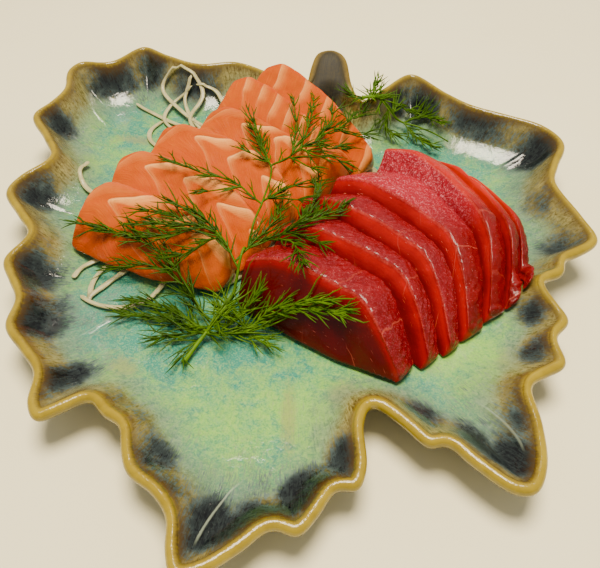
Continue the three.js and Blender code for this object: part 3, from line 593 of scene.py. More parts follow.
def leaf_glaze():
    """Runny reactive glaze: sea green with lime clouds in the middle, a greyed mottled wall,
    blue-black pools that turn brown towards the rim, and an olive-yellow roll."""
    f = Finish("leaf_glaze")
    rim, pool, valley, blush, lime, vein, vein_gap, stem, bare = map(f.value, (
        "rim", "pool", "valley", "blush", "lime", "vein", "vein_gap", "stem", "foot"))
    place = f.place()
    hair = f.noise(f.vector("streak", (1, 1, 0.9)), 0.7, 3, 0.6, 0.5)
    curl = f.noise(place, 1.7, 4, 0.62, 1.0)
    cloud = f.noise(place, 7.5, 4, 0.6, 0.4)
    drift = f.noise(place, 24, 2)
    grain = f.noise(place, 0.65, 2, 0.6)
    fuzz = (hair - 0.5) * 1.1 + (curl - 0.5) * 1.5
    streaks = hair * 0.8 + curl * 0.5
    streaked = streaks.between(0.45, 0.85)
    fleck = grain + curl * 0.5 - 0.72
    sun = lime * 0.7 + (drift - 0.5) * 2.4 + (cloud - 0.5) * 2.4 + (curl - 0.5) * 1.4
    wander = (cloud - 0.5) * 24 + fuzz * 7
    core = pool * 1.5 + (cloud - 0.5) * 1.5 + (hair - 0.5) * 2.2 + (curl - 0.5) * 0.9

    slate = f.blend((curl * 1.3 + hair * 0.8 - 0.6).held(), (58, 82, 66), (160, 172, 128))
    grey = f.blend((curl * 1.2 + hair * 0.9 - 0.6).held(), (54, 76, 70), (142, 156, 130))
    tan = f.blend(streaked, (88, 76, 26), (172, 158, 90))
    umber = f.blend(streaked, (52, 42, 16), (146, 130, 76))
    edge = f.under(tan, (core.between(0.2, 0.75), umber),
                   (core.between(0.35, 1.1) * 0.85, (46, 30, 6)))
    deep = f.under(f.blend(streaks.between(0.52, 0.8), (3, 7, 18), (92, 110, 108)),
                   (core.between(0.8, 1.5) * 0.85, (6, 6, 8)))
    ochre = f.blend((cloud * 1.4 - 0.2).held(), (130, 108, 8), (168, 146, 34))
    olive = f.blend(cloud, (84, 80, 26), (122, 116, 50))
    roll = f.blend((rim + (cloud - 0.5) * 3).between(-2.5, 1.2), olive, ochre)
    bark = f.blend(streaked, (14, 11, 2), (50, 42, 6))
    amber = f.blend(cloud, (96, 74, 10), (140, 116, 34))
    handle = f.blend(1 - (rim + fuzz * 1.2).between(0.5, 4.0), bark, amber)

    body = f.under(
        f.blend((sun + 0.1).held(), (54, 138, 118), (134, 190, 76)),
        # pale and dark flecks, a warm blush, and the greyed wall
        (fleck.between(0, 0.18) * 0.25, (178, 208, 116)),
        ((0 - fleck).between(0, 0.18) * 0.35, (30, 98, 84)),
        ((blush + fuzz * 0.5).between(0.35, 1.0) * 0.5, (150, 136, 84)),
        ((1 - (rim + wander).between(7, 25)) * 0.8, slate),
        # the pools, and the brown round them and under the rim
        (core.between(0.0, 0.75) * 0.55, grey),
        ((1 - (rim + fuzz * 4.5 - valley * 2 - pool * 9).between(4, 11)) * 0.85, edge),
        (core.between(0.5, 1.05), deep),
        ((1 - (rim + fuzz * 4 - valley * 2).between(2.5, 7.0)) * 0.85, edge),
        ((1 - (rim + fuzz * 1.3 - valley * 0.9).between(3.0, 6.0)) * 0.65, (74, 52, 12)),
        # the roll, the stem, the threads on the veins, and the bare clay of the foot
        (1 - (rim + fuzz * 1.1 - valley * 0.9).between(1.6, 4.0), roll),
        (stem, handle),
        ((1 - (vein_gap.math("ABSOLUTE") + fuzz * 0.2).between(0.1, 0.45)) * vein * 0.42,
         (190, 204, 176)),
        (bare, (176, 156, 120)))
    rolled = 1 - rim.between(3, 6)
    return f.finished(
        (cloud * 1.1 + curl * 0.12 + hair * 0.08) * (1 - stem * 0.8), 0.4, base_color=body, ior=1.5,
        roughness=0.07 + 0.06 * curl + rolled * 0.08 + stem * 0.6 + bare * 0.5)


def salmon_flesh():
    """Orange flesh crossed by pale chevrons of fat, paler just behind each and wet all over."""
    f = Finish("salmon_flesh")
    field, marked, pace, reach, band, depth = map(f.value, (
        "chevron", "marked", "pace", "reach", "band", "depth"))
    place = f.place()
    fibre = f.noise(f.vector("grain"), 1.0, 3, 0.6)
    patch = f.noise(place, 6, 3)
    fine = f.noise(place, 0.6, 2, 0.6)
    warp = f.noise(place, 9, 2) - 0.5
    past = (field + warp * 0.12 + (fibre - 0.5) * 0.02).math("FRACT") * pace
    behind = (1 - past / reach).held() ** 1.4
    line = 1 - past.between(0.1, 1.0) * (pace - past).between(0.0, 0.5)
    shallow = 1 - depth.between(9, 20) * 0.75
    upper_arm = reach.between(2.4, 6.5)
    pale = (behind * (0.95 + (fibre - 0.5) * 1.1 + (fine - 0.5) * 0.5)).held() * shallow
    soft = (line * (0.6 + (fibre - 0.5) * 1.8 + (patch - 0.5) * 1.2)).held()
    body = f.under(
        f.blend((patch * 0.9 + fibre * 0.6 - 0.35).held(), (186, 74, 0), (204, 94, 0)),
        (depth.between(9, 24) * 0.55, (168, 52, 0)),
        ((pale * (0.35 + upper_arm * 0.65) * marked * 1.1).held(), (252, 174, 88)),
        (soft * (0.1 + upper_arm * 0.3) * marked, (250, 192, 128)),
        (fibre.between(0.54, 0.78) * 0.24, (236, 134, 40)),
        (band * 0.5, (184, 56, 0)))
    return f.finished(
        fibre * 0.5 + patch * 0.9 + fine * 0.25 - line * 0.25, 0.45, base_color=body,
        roughness=0.22 + 0.2 * patch + (fine - 0.5) * 0.12, specular_ior_level=0.06,
        coat_weight=0.4, coat_roughness=0.16, subsurface_weight=0.08, subsurface_scale=0.003,
        subsurface_radius=(1.0, 0.3, 0.1))


SINEW_SPACING = 23


def tuna_flesh():
    """Deep red flesh: smooth wet faces with pale sinews, and frosted places cut across the
    grain."""
    f = Finish("tuna_flesh")
    rough, coarse, depth, dusk, ember, band, flow, sinew, flecks = map(f.value, (
        "frost", "coarse", "depth", "dusk", "ember", "band", "flow", "sinew", "flecks"))
    place = f.place()
    fibre = f.noise(f.vector("grain"), 1.0, 3, 0.6)
    patch = f.noise(place, 6, 3)
    frost = f.noise(place, 1.3, 4, 0.75, 0.6)
    glitter = f.noise(place, 0.55, 2, 0.7)
    speck_and_glint = f.noise(place, 0.42, 1)
    dash = f.noise(f.vector("grain", (2.2, 1.6, 1)), 0.8, 1)
    bend = (flow + (f.noise(place, 6, 2) - 0.5) * 0.16).math("FRACT")
    off = (bend - 0.5).math("ABSOLUTE") * SINEW_SPACING
    rime = (frost - 0.5) * 3.6 + (glitter - 0.5) * 3.4
    lip = band.between(0.05, 0.4) * (1 - band.between(0.6, 0.95))
    body = f.under(
        f.blend((patch * 1.1 + fibre * 0.25 - 0.2).held(), (144, 0, 0), (196, 2, 2)),
        # painted shade, darker down the face towards the crevice between slices; orange in places
        (depth.between(1.0, 8) * 0.8, (82, 0, 0)),
        (ember * (0.4 + patch * 0.5), (190, 34, 0)),
        # painted shade over the first slice's face, deeper further down
        (dusk * (0.2 + depth.between(0.8, 6) * 0.7), (84, 2, 0)),
        # the places cut across the grain, their frost, and their pale specks, partly painted glints
        (rough * 0.85, f.blend((frost * 0.7 + patch * 1.5 - 0.65).held(), (80, 0, 2), (118, 0, 5))),
        (coarse * 0.7, (176, 14, 42)),
        (rime.held() * (rough * 0.03 + coarse * 0.85).held(), (232, 128, 140)),
        ((speck_and_glint + frost * 0.35 + patch * 0.15).between(1.0, 1.05) * (0.1 + rough * 0.6).held(),
         (248, 170, 150)),
        (dash.between(0.7, 0.76) * (1 - rough) * flecks, (226, 110, 92)),
        # the paler lip beside the band, a painted highlight along each ridge, and the sinews
        (lip * (frost * 1.6 - 0.5).held() * 0.8, (206, 76, 56)),
        ((1 - off.between(0.05, 0.45)) * sinew * (frost * 0.8).held(), (206, 92, 70)))
    return f.finished(
        frost * (0.1 + rough * 0.35 + coarse * 0.6) + patch * 0.8
        + glitter * (0.06 + rough * 0.5) + fibre * 0.2, 0.5, base_color=body,
        roughness=0.24 + (patch - 0.5) * 0.2, specular_ior_level=0.15, coat_weight=0.3,
        coat_roughness=0.12, subsurface_weight=0.06, subsurface_scale=0.003,
        subsurface_radius=(1.0, 0.15, 0.1))


def radish_flesh():
    """Wet translucent white shreds with faint length-wise fibres."""
    f = Finish("daikon_flesh")
    place = f.place()
    fine = f.noise(place, 0.7, 2)
    thread = f.noise(f.vector("grain"), 0.6, 2)
    body = f.blend((f.noise(place, 4, 2) * 1.3 - 0.15).held(), (164, 156, 104), (206, 196, 150))
    return f.finished(
        thread * 0.6 + fine * 0.3, 0.2,
        base_color=f.under(body, (thread.between(0.45, 0.75) * 0.35, (140, 142, 92))),
        roughness=0.2 + 0.2 * fine, subsurface_weight=0.35, subsurface_scale=0.004,
        subsurface_radius=(1.0, 0.95, 0.8))


def dill_green():
    """Green from dark to yellowish, paler and thicker at each stem's foot."""
    f = Finish("dill_green")
    place = f.place()
    patch = f.noise(place, 3, 2)
    mottled = (patch * 1.4 - 0.2).held()
    body = f.under(
        f.blend(mottled, (16, 38, 0), (54, 90, 0)),
        (f.value("young"), f.blend(mottled, (54, 94, 0), (106, 142, 0))),
        (f.value("tip") * 0.25, (58, 84, 0)))
    return f.finished(f.noise(place, 0.5, 2) + patch, 0.15, base_color=body,
                      roughness=0.34 + 0.18 * patch, specular_ior_level=0.15)


GLAZE = leaf_glaze()
SALMON_FLESH = salmon_flesh()
TUNA_FLESH = tuna_flesh()
RADISH = radish_flesh()
HERB = dill_green()

# ---- the dish

FLOOR_RINGS = 13
WALL_RINGS = 58
RIM_TURNS = (15, 30, 45, 60, 75, 90)
WALL_SHARES = np.concatenate([np.linspace(0, 0.1, 5), np.linspace(0.14, 0.54, 13)])
FOOT_SHARES = (FOOT_RING - 0.005, FOOT_RING + 0.01, 0.66, 0.67, 0.9)
FOOT_HEIGHTS = (0.4, 0, 0, 0.8, 0.9)
HUB_SHARES = (0.4, 0.8)
FAR_BELOW = -40
VEIN_HALF_WIDTH = 0.8
# Widths of the bells that smooth the edge for the bead, for the lip and to find the valleys.
BEAD_SMOOTHING = 1.2
LIP_SMOOTHING = 2.5
VALLEY_SMOOTHING = 9
LIP_FADE = 11
SWELL = 0.25
SWELL_SIZE = 38


def across_stem(p):
    """1 over the stem's width and 0 beside it."""
    return 1 - smoothstep(STEM["half"], STEM["half"] + STEM["fade"], np.abs(p[..., 0] - STEM["x"]))


def rim_height(p):
    """Height of the rim's top: a straight rise from front to back, and the stem's curl."""
    t = np.clip((p[..., 1] - RIM_SPAN[0]) / (RIM_SPAN[1] - RIM_SPAN[0]), 0, 1)
    return mix(RIM_FRONT, RIM_BACK, t) + STEM["rise"] * smoothstep(
        STEM["from"], STEM["to"], p[..., 1]) * across_stem(p)


def stem_share(p):
    """How much of a point belongs to the stem."""
    return smoothstep(STEM["from"], STEM["full"], p[..., 1]) * across_stem(p)


def upper_height(p, distance):
    """The upper face: a flat floor, then a wall that rises with the square of its nearness to
    the edge, lifted near the bead to meet its inner side; the stem is domed."""
    inward = np.clip(1 - distance / WALL_REACH, 0, 1)
    rise = rim_height(p) - FLOOR_TOP
    lip = FLOOR_TOP + rise * (1 - LIP_INSET / WALL_REACH) ** 2
    short = np.maximum(rim_height(p) - LIP_DROP - lip, 0)
    wall = FLOOR_TOP + rise * inward ** 2 + short * (1 - smoothstep(LIP_INSET, LIP_FADE, distance))
    dome = rim_height(p) + STEM["dome"] * (1 - inward)
    return mix(wall, dome, stem_share(p))


def bells(p, places):
    """The highest of turned bells: each falls off with its own half length and half width."""
    highest = np.zeros(p.shape[:-1])
    for x, y, length, width, angle, depth in places:
        c, s = np.cos(np.radians(angle)), np.sin(np.radians(angle))
        dx, dy = p[..., 0] - x, p[..., 1] - y
        square = ((dx * c + dy * s) / length) ** 2 + ((dy * c - dx * s) / width) ** 2
        highest = np.maximum(highest, depth * np.exp(-0.7 * square))
    return highest


def vein_field(p):
    """For each point: how high the veins stand there, how much of a pale thread runs there, and
    how far to its left or right the nearest vein's middle line is."""
    spots = p.reshape(-1, 2)
    height, shown, gap = np.zeros(len(spots)), np.zeros(len(spots)), np.full(len(spots), 9.0)
    for rise, paleness, points in VEINS:
        line = evenly(spline(points), 60)
        ahead = unit(np.gradient(line, axis=0))
        near = np.flatnonzero(np.abs(spots - line.mean(0)).sum(1) < 60)
        offset = spots[near][:, None] - line[None]
        away = np.linalg.norm(offset, axis=2)
        nearest, away = away.argmin(1), away.min(1)
        place = nearest / (len(line) - 1)
        offset = offset[np.arange(len(near)), nearest]
        side = ahead[nearest, 0] * offset[:, 1] - ahead[nearest, 1] * offset[:, 0]
        ends = smoothstep(0, 0.3, place) * (1 - smoothstep(0.85, 1.0, place))
        height[near] = np.maximum(
            height[near], rise * ends * np.exp(-(away / VEIN_HALF_WIDTH) ** 2))
        closer = away < np.abs(gap[near])
        gap[near[closer]] = side[closer]
        shown[near[closer]] = (ends * paleness * (1 - smoothstep(3, 6, away)))[closer]
    return [v.reshape(p.shape[:-1]) for v in (height, shown, gap)]


def build_dish():
    """Rings from the middle of the upper face, over the rolled rim, to the middle of the foot.
    Each band of rings has its places, its heights and how far in from the rim it lies. Gives
    the points of the upper face and the rim."""
    fine = soften(evenly(spline(LEAF, True, 24), 2 * COLUMNS, True), EDGE_ROUNDING)
    edge = fine[::2]
    bead = inset(soften(fine, BEAD_SMOOTHING), BEAD)[::2]
    lip = inset(soften(fine, LIP_SMOOTHING), LIP_INSET)[::2]
    middle = np.array(HEART, float)
    heart = mix(middle, soften(fine, HEART_SMOOTHING)[::2], HEART_SCALE)

    def rings(start, end, shares):
        return mix(start, end, np.asarray(shares)[:, None, None])
    flat = np.concatenate([
        rings(heart, middle, 1 - np.linspace(0, 1, FLOOR_RINGS)[1:-1] ** 0.8),
        rings(lip, heart, np.linspace(1, 0, WALL_RINGS) ** 1.5)])
    distance = nearest_distance(flat, fine)
    vein, shown, vein_gap = vein_field(flat)
    upper = upper_height(flat, distance) + vein
    upper += SWELL * waves(flat, SWELL_SIZE, 5) * smoothstep(4, 22, distance)

    turn = np.radians(RIM_TURNS)[:, None]
    c, s = np.cos(turn), np.sin(turn)
    rim, top = rim_height(edge), upper[-1]
    below = rings(lip, heart, WALL_SHARES)
    gap = nearest_distance(below, fine)
    lower = upper_height(below, gap) - mix(WALL_THICKNESS, STEM["thick"], stem_share(below))
    hollow = mix(rim - BEAD_DEPTH - UNDERCUT, lower, smoothstep(0, 0.1, WALL_SHARES)[:, None])
    bands = [
        (flat, upper, distance),
        (mix(bead, lip, c[..., None]), top + (rim - top) * s ** 2, BEAD + (LIP_INSET - BEAD) * c),
        (mix(bead, edge, s[..., None]), rim - BEAD * (1 - c), BEAD * (1 - s)),
        (mix(bead, edge, c[..., None]), rim - BEAD - (BEAD_DEPTH - BEAD) * s, -3 * s),
        (below, np.minimum(lower, hollow), -4 - gap),
        (rings(lip, heart, FOOT_SHARES), np.array(FOOT_HEIGHTS)[:, None], FAR_BELOW),
        (rings(heart, middle, HUB_SHARES), FOOT_HEIGHTS[-1], FAR_BELOW),
    ]
    rows = np.concatenate([band[0] for band in bands])
    heights, from_rim = [np.concatenate([
        np.broadcast_to(band[part], band[0].shape[:2]) for band in bands]) for part in (1, 2)]

    calm = soften(fine, VALLEY_SMOOTHING)
    out = fine - calm
    outward = np.linalg.norm(out, axis=1) * np.sign((out * (calm - inset(calm, 1))).sum(1))
    valley = np.fft.fft(smoothstep(0.2, 3.2, -outward[::2]))
    valley = np.fft.ifft(valley * np.exp(-2 * (np.pi * np.fft.fftfreq(COLUMNS) * 4) ** 2)).real
    angle = 2 * np.pi * np.arange(COLUMNS) / COLUMNS
    radius = length_of(edge) / (2 * np.pi)
    beyond = ((0, len(rows) - len(flat)), (0, 0))
    values = {
        "rim": from_rim, "valley": valley[None], "stem": stem_share(rows),
        "streak": packed(radius * np.cos(angle), radius * np.sin(angle), from_rim * 0.34),
        "pool": bells(rows, POOLS), "blush": bells(rows, BLUSHES), "lime": bells(rows, LIMES),
        "vein": np.pad(shown, beyond), "vein_gap": np.pad(vein_gap, beyond, constant_values=9),
        "foot": ((heights < 0.05) & (from_rim <= FAR_BELOW)).astype(float),
    }
    grid = lifted(rows, heights)
    make_piece("leaf_dish", one_shell(grid, values), GLAZE, "dish")
    return grid[:len(flat) + 2 * len(RIM_TURNS)].reshape(-1, 3)


# ---- the fish

STATIONS = 150
FACE_STEPS = 44
BAND_STEPS = 20
BACK_STEPS = 24
BASE_STEPS = 6
# Each slice's chevrons: a tip's place along and down the face, how far each arm runs along for
# each millimetre that it goes up or down, and the chevrons' spacing.
CHEVRONS = [
    (12, 7, 2.6, 1.7, 20), (14.5, 7, 2.6, 1.7, 20), (17.5, 7, 2.6, 1.7, 20), (20, 7, 2.6, 1.6, 19),
    (10, 9, -0.2, 0.7, 11), (12, 10, -0.3, 0.8, 16),
]
CHEVRON_ROUND = 1.2
# How far apart two slices' grains are, so that no two look alike.
NEXT_GRAIN = 40


def arched(line, bow, a):
    """A point a share a along a line that bows to its left by 4a(1-a)."""
    x0, y0, x1, y1 = line
    side = 4 * bow * a * (1 - a) / np.hypot(x1 - x0, y1 - y0)
    return packed(mix(x0, x1, a) - (y1 - y0) * side, mix(y0, y1, a) + (x1 - x0) * side)


def cut_point(fan, k, a, h):
    """A point of the k-th cut: from its foot to its top edge as the height h rises."""
    top, foot, height, bow = fan["cuts"][k]
    rise = (h / height) ** fan["curl"][min(k, 1)]
    return mix(arched(foot, bow[1], a), arched(top, bow[0], a), rise[..., None])


def along_next(fan, k, a):
    """Where along the next cut a slice's back lies, by projection on that cut's chord."""
    half = fan["cuts"][k][2] / 2
    p = cut_point(fan, k, a, np.full_like(a, half))
    ends = cut_point(fan, k + 1, np.array([0.0, 1.0]), np.full(2, half))
    chord = ends[1] - ends[0]
    return (p - ends[0]) @ chord / (chord @ chord)


def top_height(fan, k, a):
    """Height of a slice's ridge, rounded down towards its two ends."""
    right = fan["last"] if k == len(fan["cuts"]) - 2 else fan["right"]

    def near(end, t):
        return mix(end[0], 1, np.sqrt(smoothstep(0, end[1], t)))
    return fan["cuts"][k][2] * near(fan["left"], a) * near(right, 1 - a)


def settled(fan, face, ground, a):
    """The lowest height on a slice's face that is clear of the dish, found by four steps."""
    h = np.zeros_like(a)
    for _ in range(4):
        h = np.maximum(h, ground.under(face(h)) + 2 * GAP - fan["base"])
    return h


def slice_grid(fan, k, ground, seed, rounding):
    """Loops round a slice, one for each share a of its length: up its face, over its top band,
    down its back and under it. Near both ends the loops shrink in a quarter circle. With them
    come each point's place along the slice and down it, and how much it is on the band."""
    x0, y0, x1, y1 = fan["cuts"][k][0]
    length = np.hypot(x1 - x0, y1 - y0)
    a = np.linspace(0, 1, STATIONS)
    a = mix(a, (1 - np.cos(np.pi * a)) / 2, 0.6)
    following = along_next(fan, k, a)

    def front(h):
        return cut_point(fan, k, a, h)

    def rear(h):
        p = cut_point(fan, k + 1, following, h)
        return p - 2 * GAP * unit(p - front(h))

    def section(side, h):
        return lifted(side(h), h)
    foot, heel = [settled(fan, face, ground, a) for face in (front, rear)]
    uneven = waves(packed(a * length, NEXT_GRAIN * k), 24, seed)
    top = np.maximum(top_height(fan, k, a) + 0.18 * uneven, foot + LEAST_FACE)
    back_top = np.maximum(top_height(fan, k, a) - fan["drop"], heel + LEAST_FACE / 2)

    face = section(front, mix(foot, top, np.linspace(0, 1, FACE_STEPS, endpoint=False)[:, None]))
    back = section(rear, mix(heel, back_top, np.linspace(1, 0, BACK_STEPS)[:, None]))
    share = np.linspace(0, 1, BAND_STEPS, endpoint=False)[:, None, None]
    band = mix(section(front, top), back[:1], share)
    band[..., 2] += BAND_BULGE * np.sin(np.pi * share[..., 0])
    share = (np.arange(1, BASE_STEPS + 1) / (BASE_STEPS + 1))[:, None, None]
    grid = np.concatenate([face, band, back, mix(back[-1:], face[:1], share)]).transpose(1, 0, 2)
    grid[..., 2] += fan["base"]
    for _ in range(5):
        grid = 0.5 * grid + 0.25 * (np.roll(grid, 1, 1) + np.roll(grid, -1, 1))
    reach = np.clip(np.minimum(a, 1 - a) * length / rounding, 0, 1)
    shrink = np.sqrt(np.clip(1 - (1 - reach) ** 2, 0.0004, 1))
    middle = grid.mean(1, keepdims=True)
    grid = middle + (grid - middle) * shrink[:, None, None]

    rise = np.linalg.norm(section(front, top) - face[0], axis=1)[:, None]
    fall = (back_top - heel)[:, None] * np.linspace(0, 1, BACK_STEPS)
    down = np.concatenate([rise * (1 - np.arange(FACE_STEPS) / FACE_STEPS),
                           np.zeros((STATIONS, BAND_STEPS)), fall,
                           np.repeat(fall[:, -1:], BASE_STEPS, 1)], 1)
    on_band = np.zeros(down.shape[1])
    on_band[FACE_STEPS - 1:FACE_STEPS + BAND_STEPS + 1] = 1
    on_band = (on_band + np.roll(on_band, 1) + np.roll(on_band, -1)) / 3
    return grid, *np.broadcast_arrays((a * length)[:, None], down, on_band)


def roughened(grid, size, depth, seed):
    """A grid's points moved along its own normals by an uneven field."""
    normal = unit(np.cross(np.gradient(grid, axis=0), np.roll(grid, -1, 1) - np.roll(grid, 1, 1)))
    return grid + normal * (depth * waves(grid, size, seed))[..., None]


def salmon_slice(k, ground):
    """A slice and its chevrons, whose field is its length less the bent distance from the
    chevrons' tips."""
    grid, along, down, band = slice_grid(SALMON, k, ground, 11 + k, 3.2)
    grid = roughened(grid, 15, 0.28, 31 + k)
    grid = roughened(grid, 5, 0.09, 51 + k)
    tip_along, tip_down, arm_up, arm_down, spacing = CHEVRONS[k]
    off = down - tip_down - 1.5 * waves(packed(along, down), 30, 71 + k)
    away = np.sqrt(off ** 2 + CHEVRON_ROUND ** 2)
    slope = np.where(off < 0, arm_up, arm_down)
    field = (along - tip_along - slope * (away - CHEVRON_ROUND)) / spacing
    return grid, {
        "depth": down, "band": band, "chevron": field,
        "marked": (0.25 + 0.75 * smoothstep(-0.5, -0.2, field)) * (1 if k < 4 else 0.6),
        "pace": spacing / np.sqrt(1 + (slope * off / away) ** 2),
        "reach": mix(6.5, 2.4, smoothstep(-1.5, 2.5, off)),
        "grain": packed(field * spacing / 0.9, along * 0.08 + down * 0.08, NEXT_GRAIN * k),
    }


def tuna_surface(k, along, down, band):
    """How frosted, how coarse and how orange each point of the k-th tuna slice is."""
    share = along / along.max()
    edge = np.maximum(band, (1 - smoothstep(0.3, 2.2, down)) * 0.8)
    none = np.zeros_like(band)
    if k < 3:
        return edge, edge * 0.15, none
    if k == 3:
        return edge, edge * (1 - smoothstep(0.3, 0.75, share)), none
    fade = 1 - smoothstep(0.4, 0.7, share)
    if k == 4:
        face = np.where(band < 0.5, 1 - smoothstep(14, 24, down), 0.2)
        return np.maximum(face * fade, edge * (1 - fade)), face * fade, band * fade
    return edge * (1 - fade), none, fade * (1 - smoothstep(6, 16, down))


def tuna_slice(k, ground):
    """A slice with a coarse top band and sinews that cross its right half; the first one's face
    is darkened with painted shade."""
    grid, along, down, band = slice_grid(TUNA, k, ground, 91 + k, 1.2)
    grid = roughened(grid, 14, 0.25, 111 + k)
    frost, coarse, ember = tuna_surface(k, along, down, band)
    grid = mix(grid, roughened(grid, 2.4, 0.13, 131 + k), frost[..., None])
    flat = packed(along, down)
    return grid, {
        "depth": down, "band": band, "frost": frost, "coarse": coarse, "ember": ember,
        "flow": (along - 0.8 * down + 3 * waves(flat, 26, 151 + k) + 6 * k) / SINEW_SPACING,
        "sinew": smoothstep(0.3, 0.8, along / along.max()) * smoothstep(
            -0.6, 0.2, waves(flat, 16, 171 + k)),
        # painted shade for the first slice's face
        "dusk": np.full((1, 1), 1.0 if k == 0 else 0.0),
        "flecks": np.full((1, 1), 0.9 if k == 3 else 0.35),
        "grain": packed(along * 0.12, down, NEXT_GRAIN * k),
    }


def build_fan(fish, fan, make_slice, material, ground):
    """Makes a fan's slices in turn, and gives the points of each."""
    for k in range(len(fan["cuts"]) - 1):
        shape = one_shell(*make_slice(k, ground), flip=True)
        make_piece(f"{fish}_slice_{k + 1}", shape, material, f"{fish}_{k + 1}")
        yield shape[0]


# ---- the daikon

STRIP_SIDES = 12
STRIP_POINTS = 48
# Loops of the bed, from its middle over its edge and back underneath: how far out, how high.
BED_LOOPS = [(0.02, 1), (0.3, 1), (0.6, 1), (0.85, 1), (0.96, 0.9), (1, 0.7), (1, 0.3),
             (0.96, 0.05), (0.85, 0), (0.5, 0), (0.02, 0)]
# The bank's section: a height on the last cut, how far beyond it, and how far above the bed.
BANK_SECTION = [(0, 12, -2), (10, 5, 4.5), (10, 3.5, 8), (10, 2, 9.6), (10, 0.6, 9.6),
                (0, 0.6, 0), (0, -5, -0.5), (0, -5, -2)]


def relaxed(line, times):
    """A line whose inner points move halfway to the middle of their neighbours, some times."""
    line = line.copy()
    for _ in range(times):
        line[1:-1] = 0.5 * line[1:-1] + 0.25 * (line[:-2] + line[2:])
    return line


def strip_group(paths, seed):
    """Shreds along their paths: flattened tubes whose width wanders and whose ends are round."""
    random = np.random.default_rng(seed)
    count, steps = paths.shape[:2]
    t = np.linspace(0, 1, steps)
    taper = np.sqrt(np.clip(1 - (np.abs(2 * t - 1)) ** 24, 0.02, 1))
    pace = random.uniform(8, 16, (count, 1))
    wander = 1 + 0.12 * np.sin(t * pace + random.uniform(0, 6, (count, 1)))
    taper = taper * random.uniform(0.85, 1.05, (count, 1))
    loops = tubes(paths, STRIP_WIDTH / 2 * taper * wander,
                  STRIP_THICKNESS / 2 * taper * (2 - wander), STRIP_SIDES)
    step = np.linalg.norm(np.diff(paths, axis=1, prepend=paths[:, :1]), axis=2)
    ring = 2 * np.cos(2 * np.pi * np.arange(STRIP_SIDES) / STRIP_SIDES)
    grain = packed(np.cumsum(step, 1)[..., None] * 0.1, ring,
                   10.0 * np.arange(count)[:, None, None])
    return shell(loops, {"grain": grain})


def laid_strip(points, ground):
    """A shred's path, raised where what it lies on needs it."""
    path = relaxed(evenly(spline(points), STRIP_POINTS), 10)
    path[:, 2] = np.maximum(path[:, 2], ground.under(path) + STRIP_THICKNESS / 2 + GAP)
    path[:, 2] = np.maximum(relaxed(path[:, 2], 6), path[:, 2] - 0.1)
    return path


def build_daikon(ground, laid):
    """The bed under the salmon, the bank behind its last slice, and the loose shreds; the bank
    is laid on the relief at once. Gives the points of all three."""
    outline = evenly(spline(BED, True), 240, True)
    shares, heights = np.array(BED_LOOPS).T
    rows = mix(outline.mean(0), outline, shares[:, None, None])
    floor = ground.under(rows) + GAP
    z = mix(floor, np.maximum(BED_TOP - 0.15, floor), heights[:, None])
    z[:4] -= 0.15 * np.abs(waves(rows[:4], 4, 7))
    bed = lifted(rows, z)

    last = len(SALMON["cuts"]) - 1
    a = np.linspace(BANK["from"], BANK["to"], 60)

    def on_cut(h):
        return cut_point(SALMON, last, a, np.full_like(a, h))
    back = unit(on_cut(BANK["rise"]) - on_cut(0))
    loops = []
    for h, beyond, rise in BANK_SECTION:
        p = on_cut(h) + back * beyond
        loops.append(lifted(p, np.maximum(BED_TOP + rise, ground.under(p) + 0.6)))
    bank = np.stack([evenly(spline(s, True, 8), 40, True) for s in np.stack(loops, 1)])
    bank = roughened(bank, 4, 0.15, 3)
    shapes = [one_shell(bed, {"grain": bed * 0.5}, flip=True),
              one_shell(bank, {"grain": bank * 0.5})]
    laid.add(shapes[1][0])

    shapes.append(strip_group(np.stack([laid_strip(p, ground) for p in STRIPS]), 21))
    piece = gathered(shapes)
    make_piece("shredded_daikon", piece, RADISH, "daikon")
    return piece[0]


# ---- the dill

STEM_SIDES = 10
BRANCH_SIDES = 6
THREAD_SIDES = 5
STEM_POINTS = 70
BRANCH_POINTS = 40
THREAD_POINTS = 7
CEILING = 38
# How much every fine leaf bends down, and how far it is kept above what it lies on.
SAG = np.array([0, 0, 0.05])
CLEAR = 0.55
TUFT = 12
LOW_BRANCHES = (2, 3, 4, 6, 7, 8, 9, 10)
FAN_ANGLES = (-0.55, 0.12, 0.55)
BRANCH_RADII = (0.45, 0.2)
TWIG_RADII = (0.34, 0.06)
NEEDLE_RADII = (0.3, 0.06)


def raised(path, relief, radius=0.0):
    """A path kept above what it lies on."""
    height = relief.under(path, 2) + LIE + radius
    return np.column_stack([path[:, :2], np.maximum(path[:, 2], height)])


def stepped(points, step):
    """A curve through some points, in even steps of about the given length."""
    curve = spline(points)
    return evenly(curve, max(3, round(length_of(curve) / step) + 1))


def between(path):
    """A path's points and the quarters of its steps."""
    t = np.array([0, 0.25, 0.5, 0.75])[None, :, None]
    return (path[:-1, None] + (path[1:] - path[:-1])[:, None] * t).reshape(-1, 3)


def threads(feet, headings, lengths, droop, relief):
    """Fine leaves: each goes from its foot along its heading, bends by droop times the square of
    the distance, and is kept above what lies below."""
    t = np.linspace(0, 1, THREAD_POINTS)[None, :, None]
    lengths = lengths[:, None, None]
    paths = feet[:, None] + headings[:, None] * lengths * t + droop[:, None] * lengths * t ** 2
    need = np.maximum(relief.under(paths) + CLEAR - paths[..., 2], 0)
    need = np.maximum.accumulate(need, axis=1)
    paths[..., 2] = np.minimum(paths[..., 2] + need, CEILING)
    return paths


def turned(heading, angle, lift):
    """A heading turned about the vertical by an angle, and tilted up by a lift."""
    c, s = np.cos(angle), np.sin(angle)
    x, y, z = heading[..., 0], heading[..., 1], heading[..., 2]
    return unit(packed(x * c - y * s, x * s + y * c, z * 0.6 + lift))


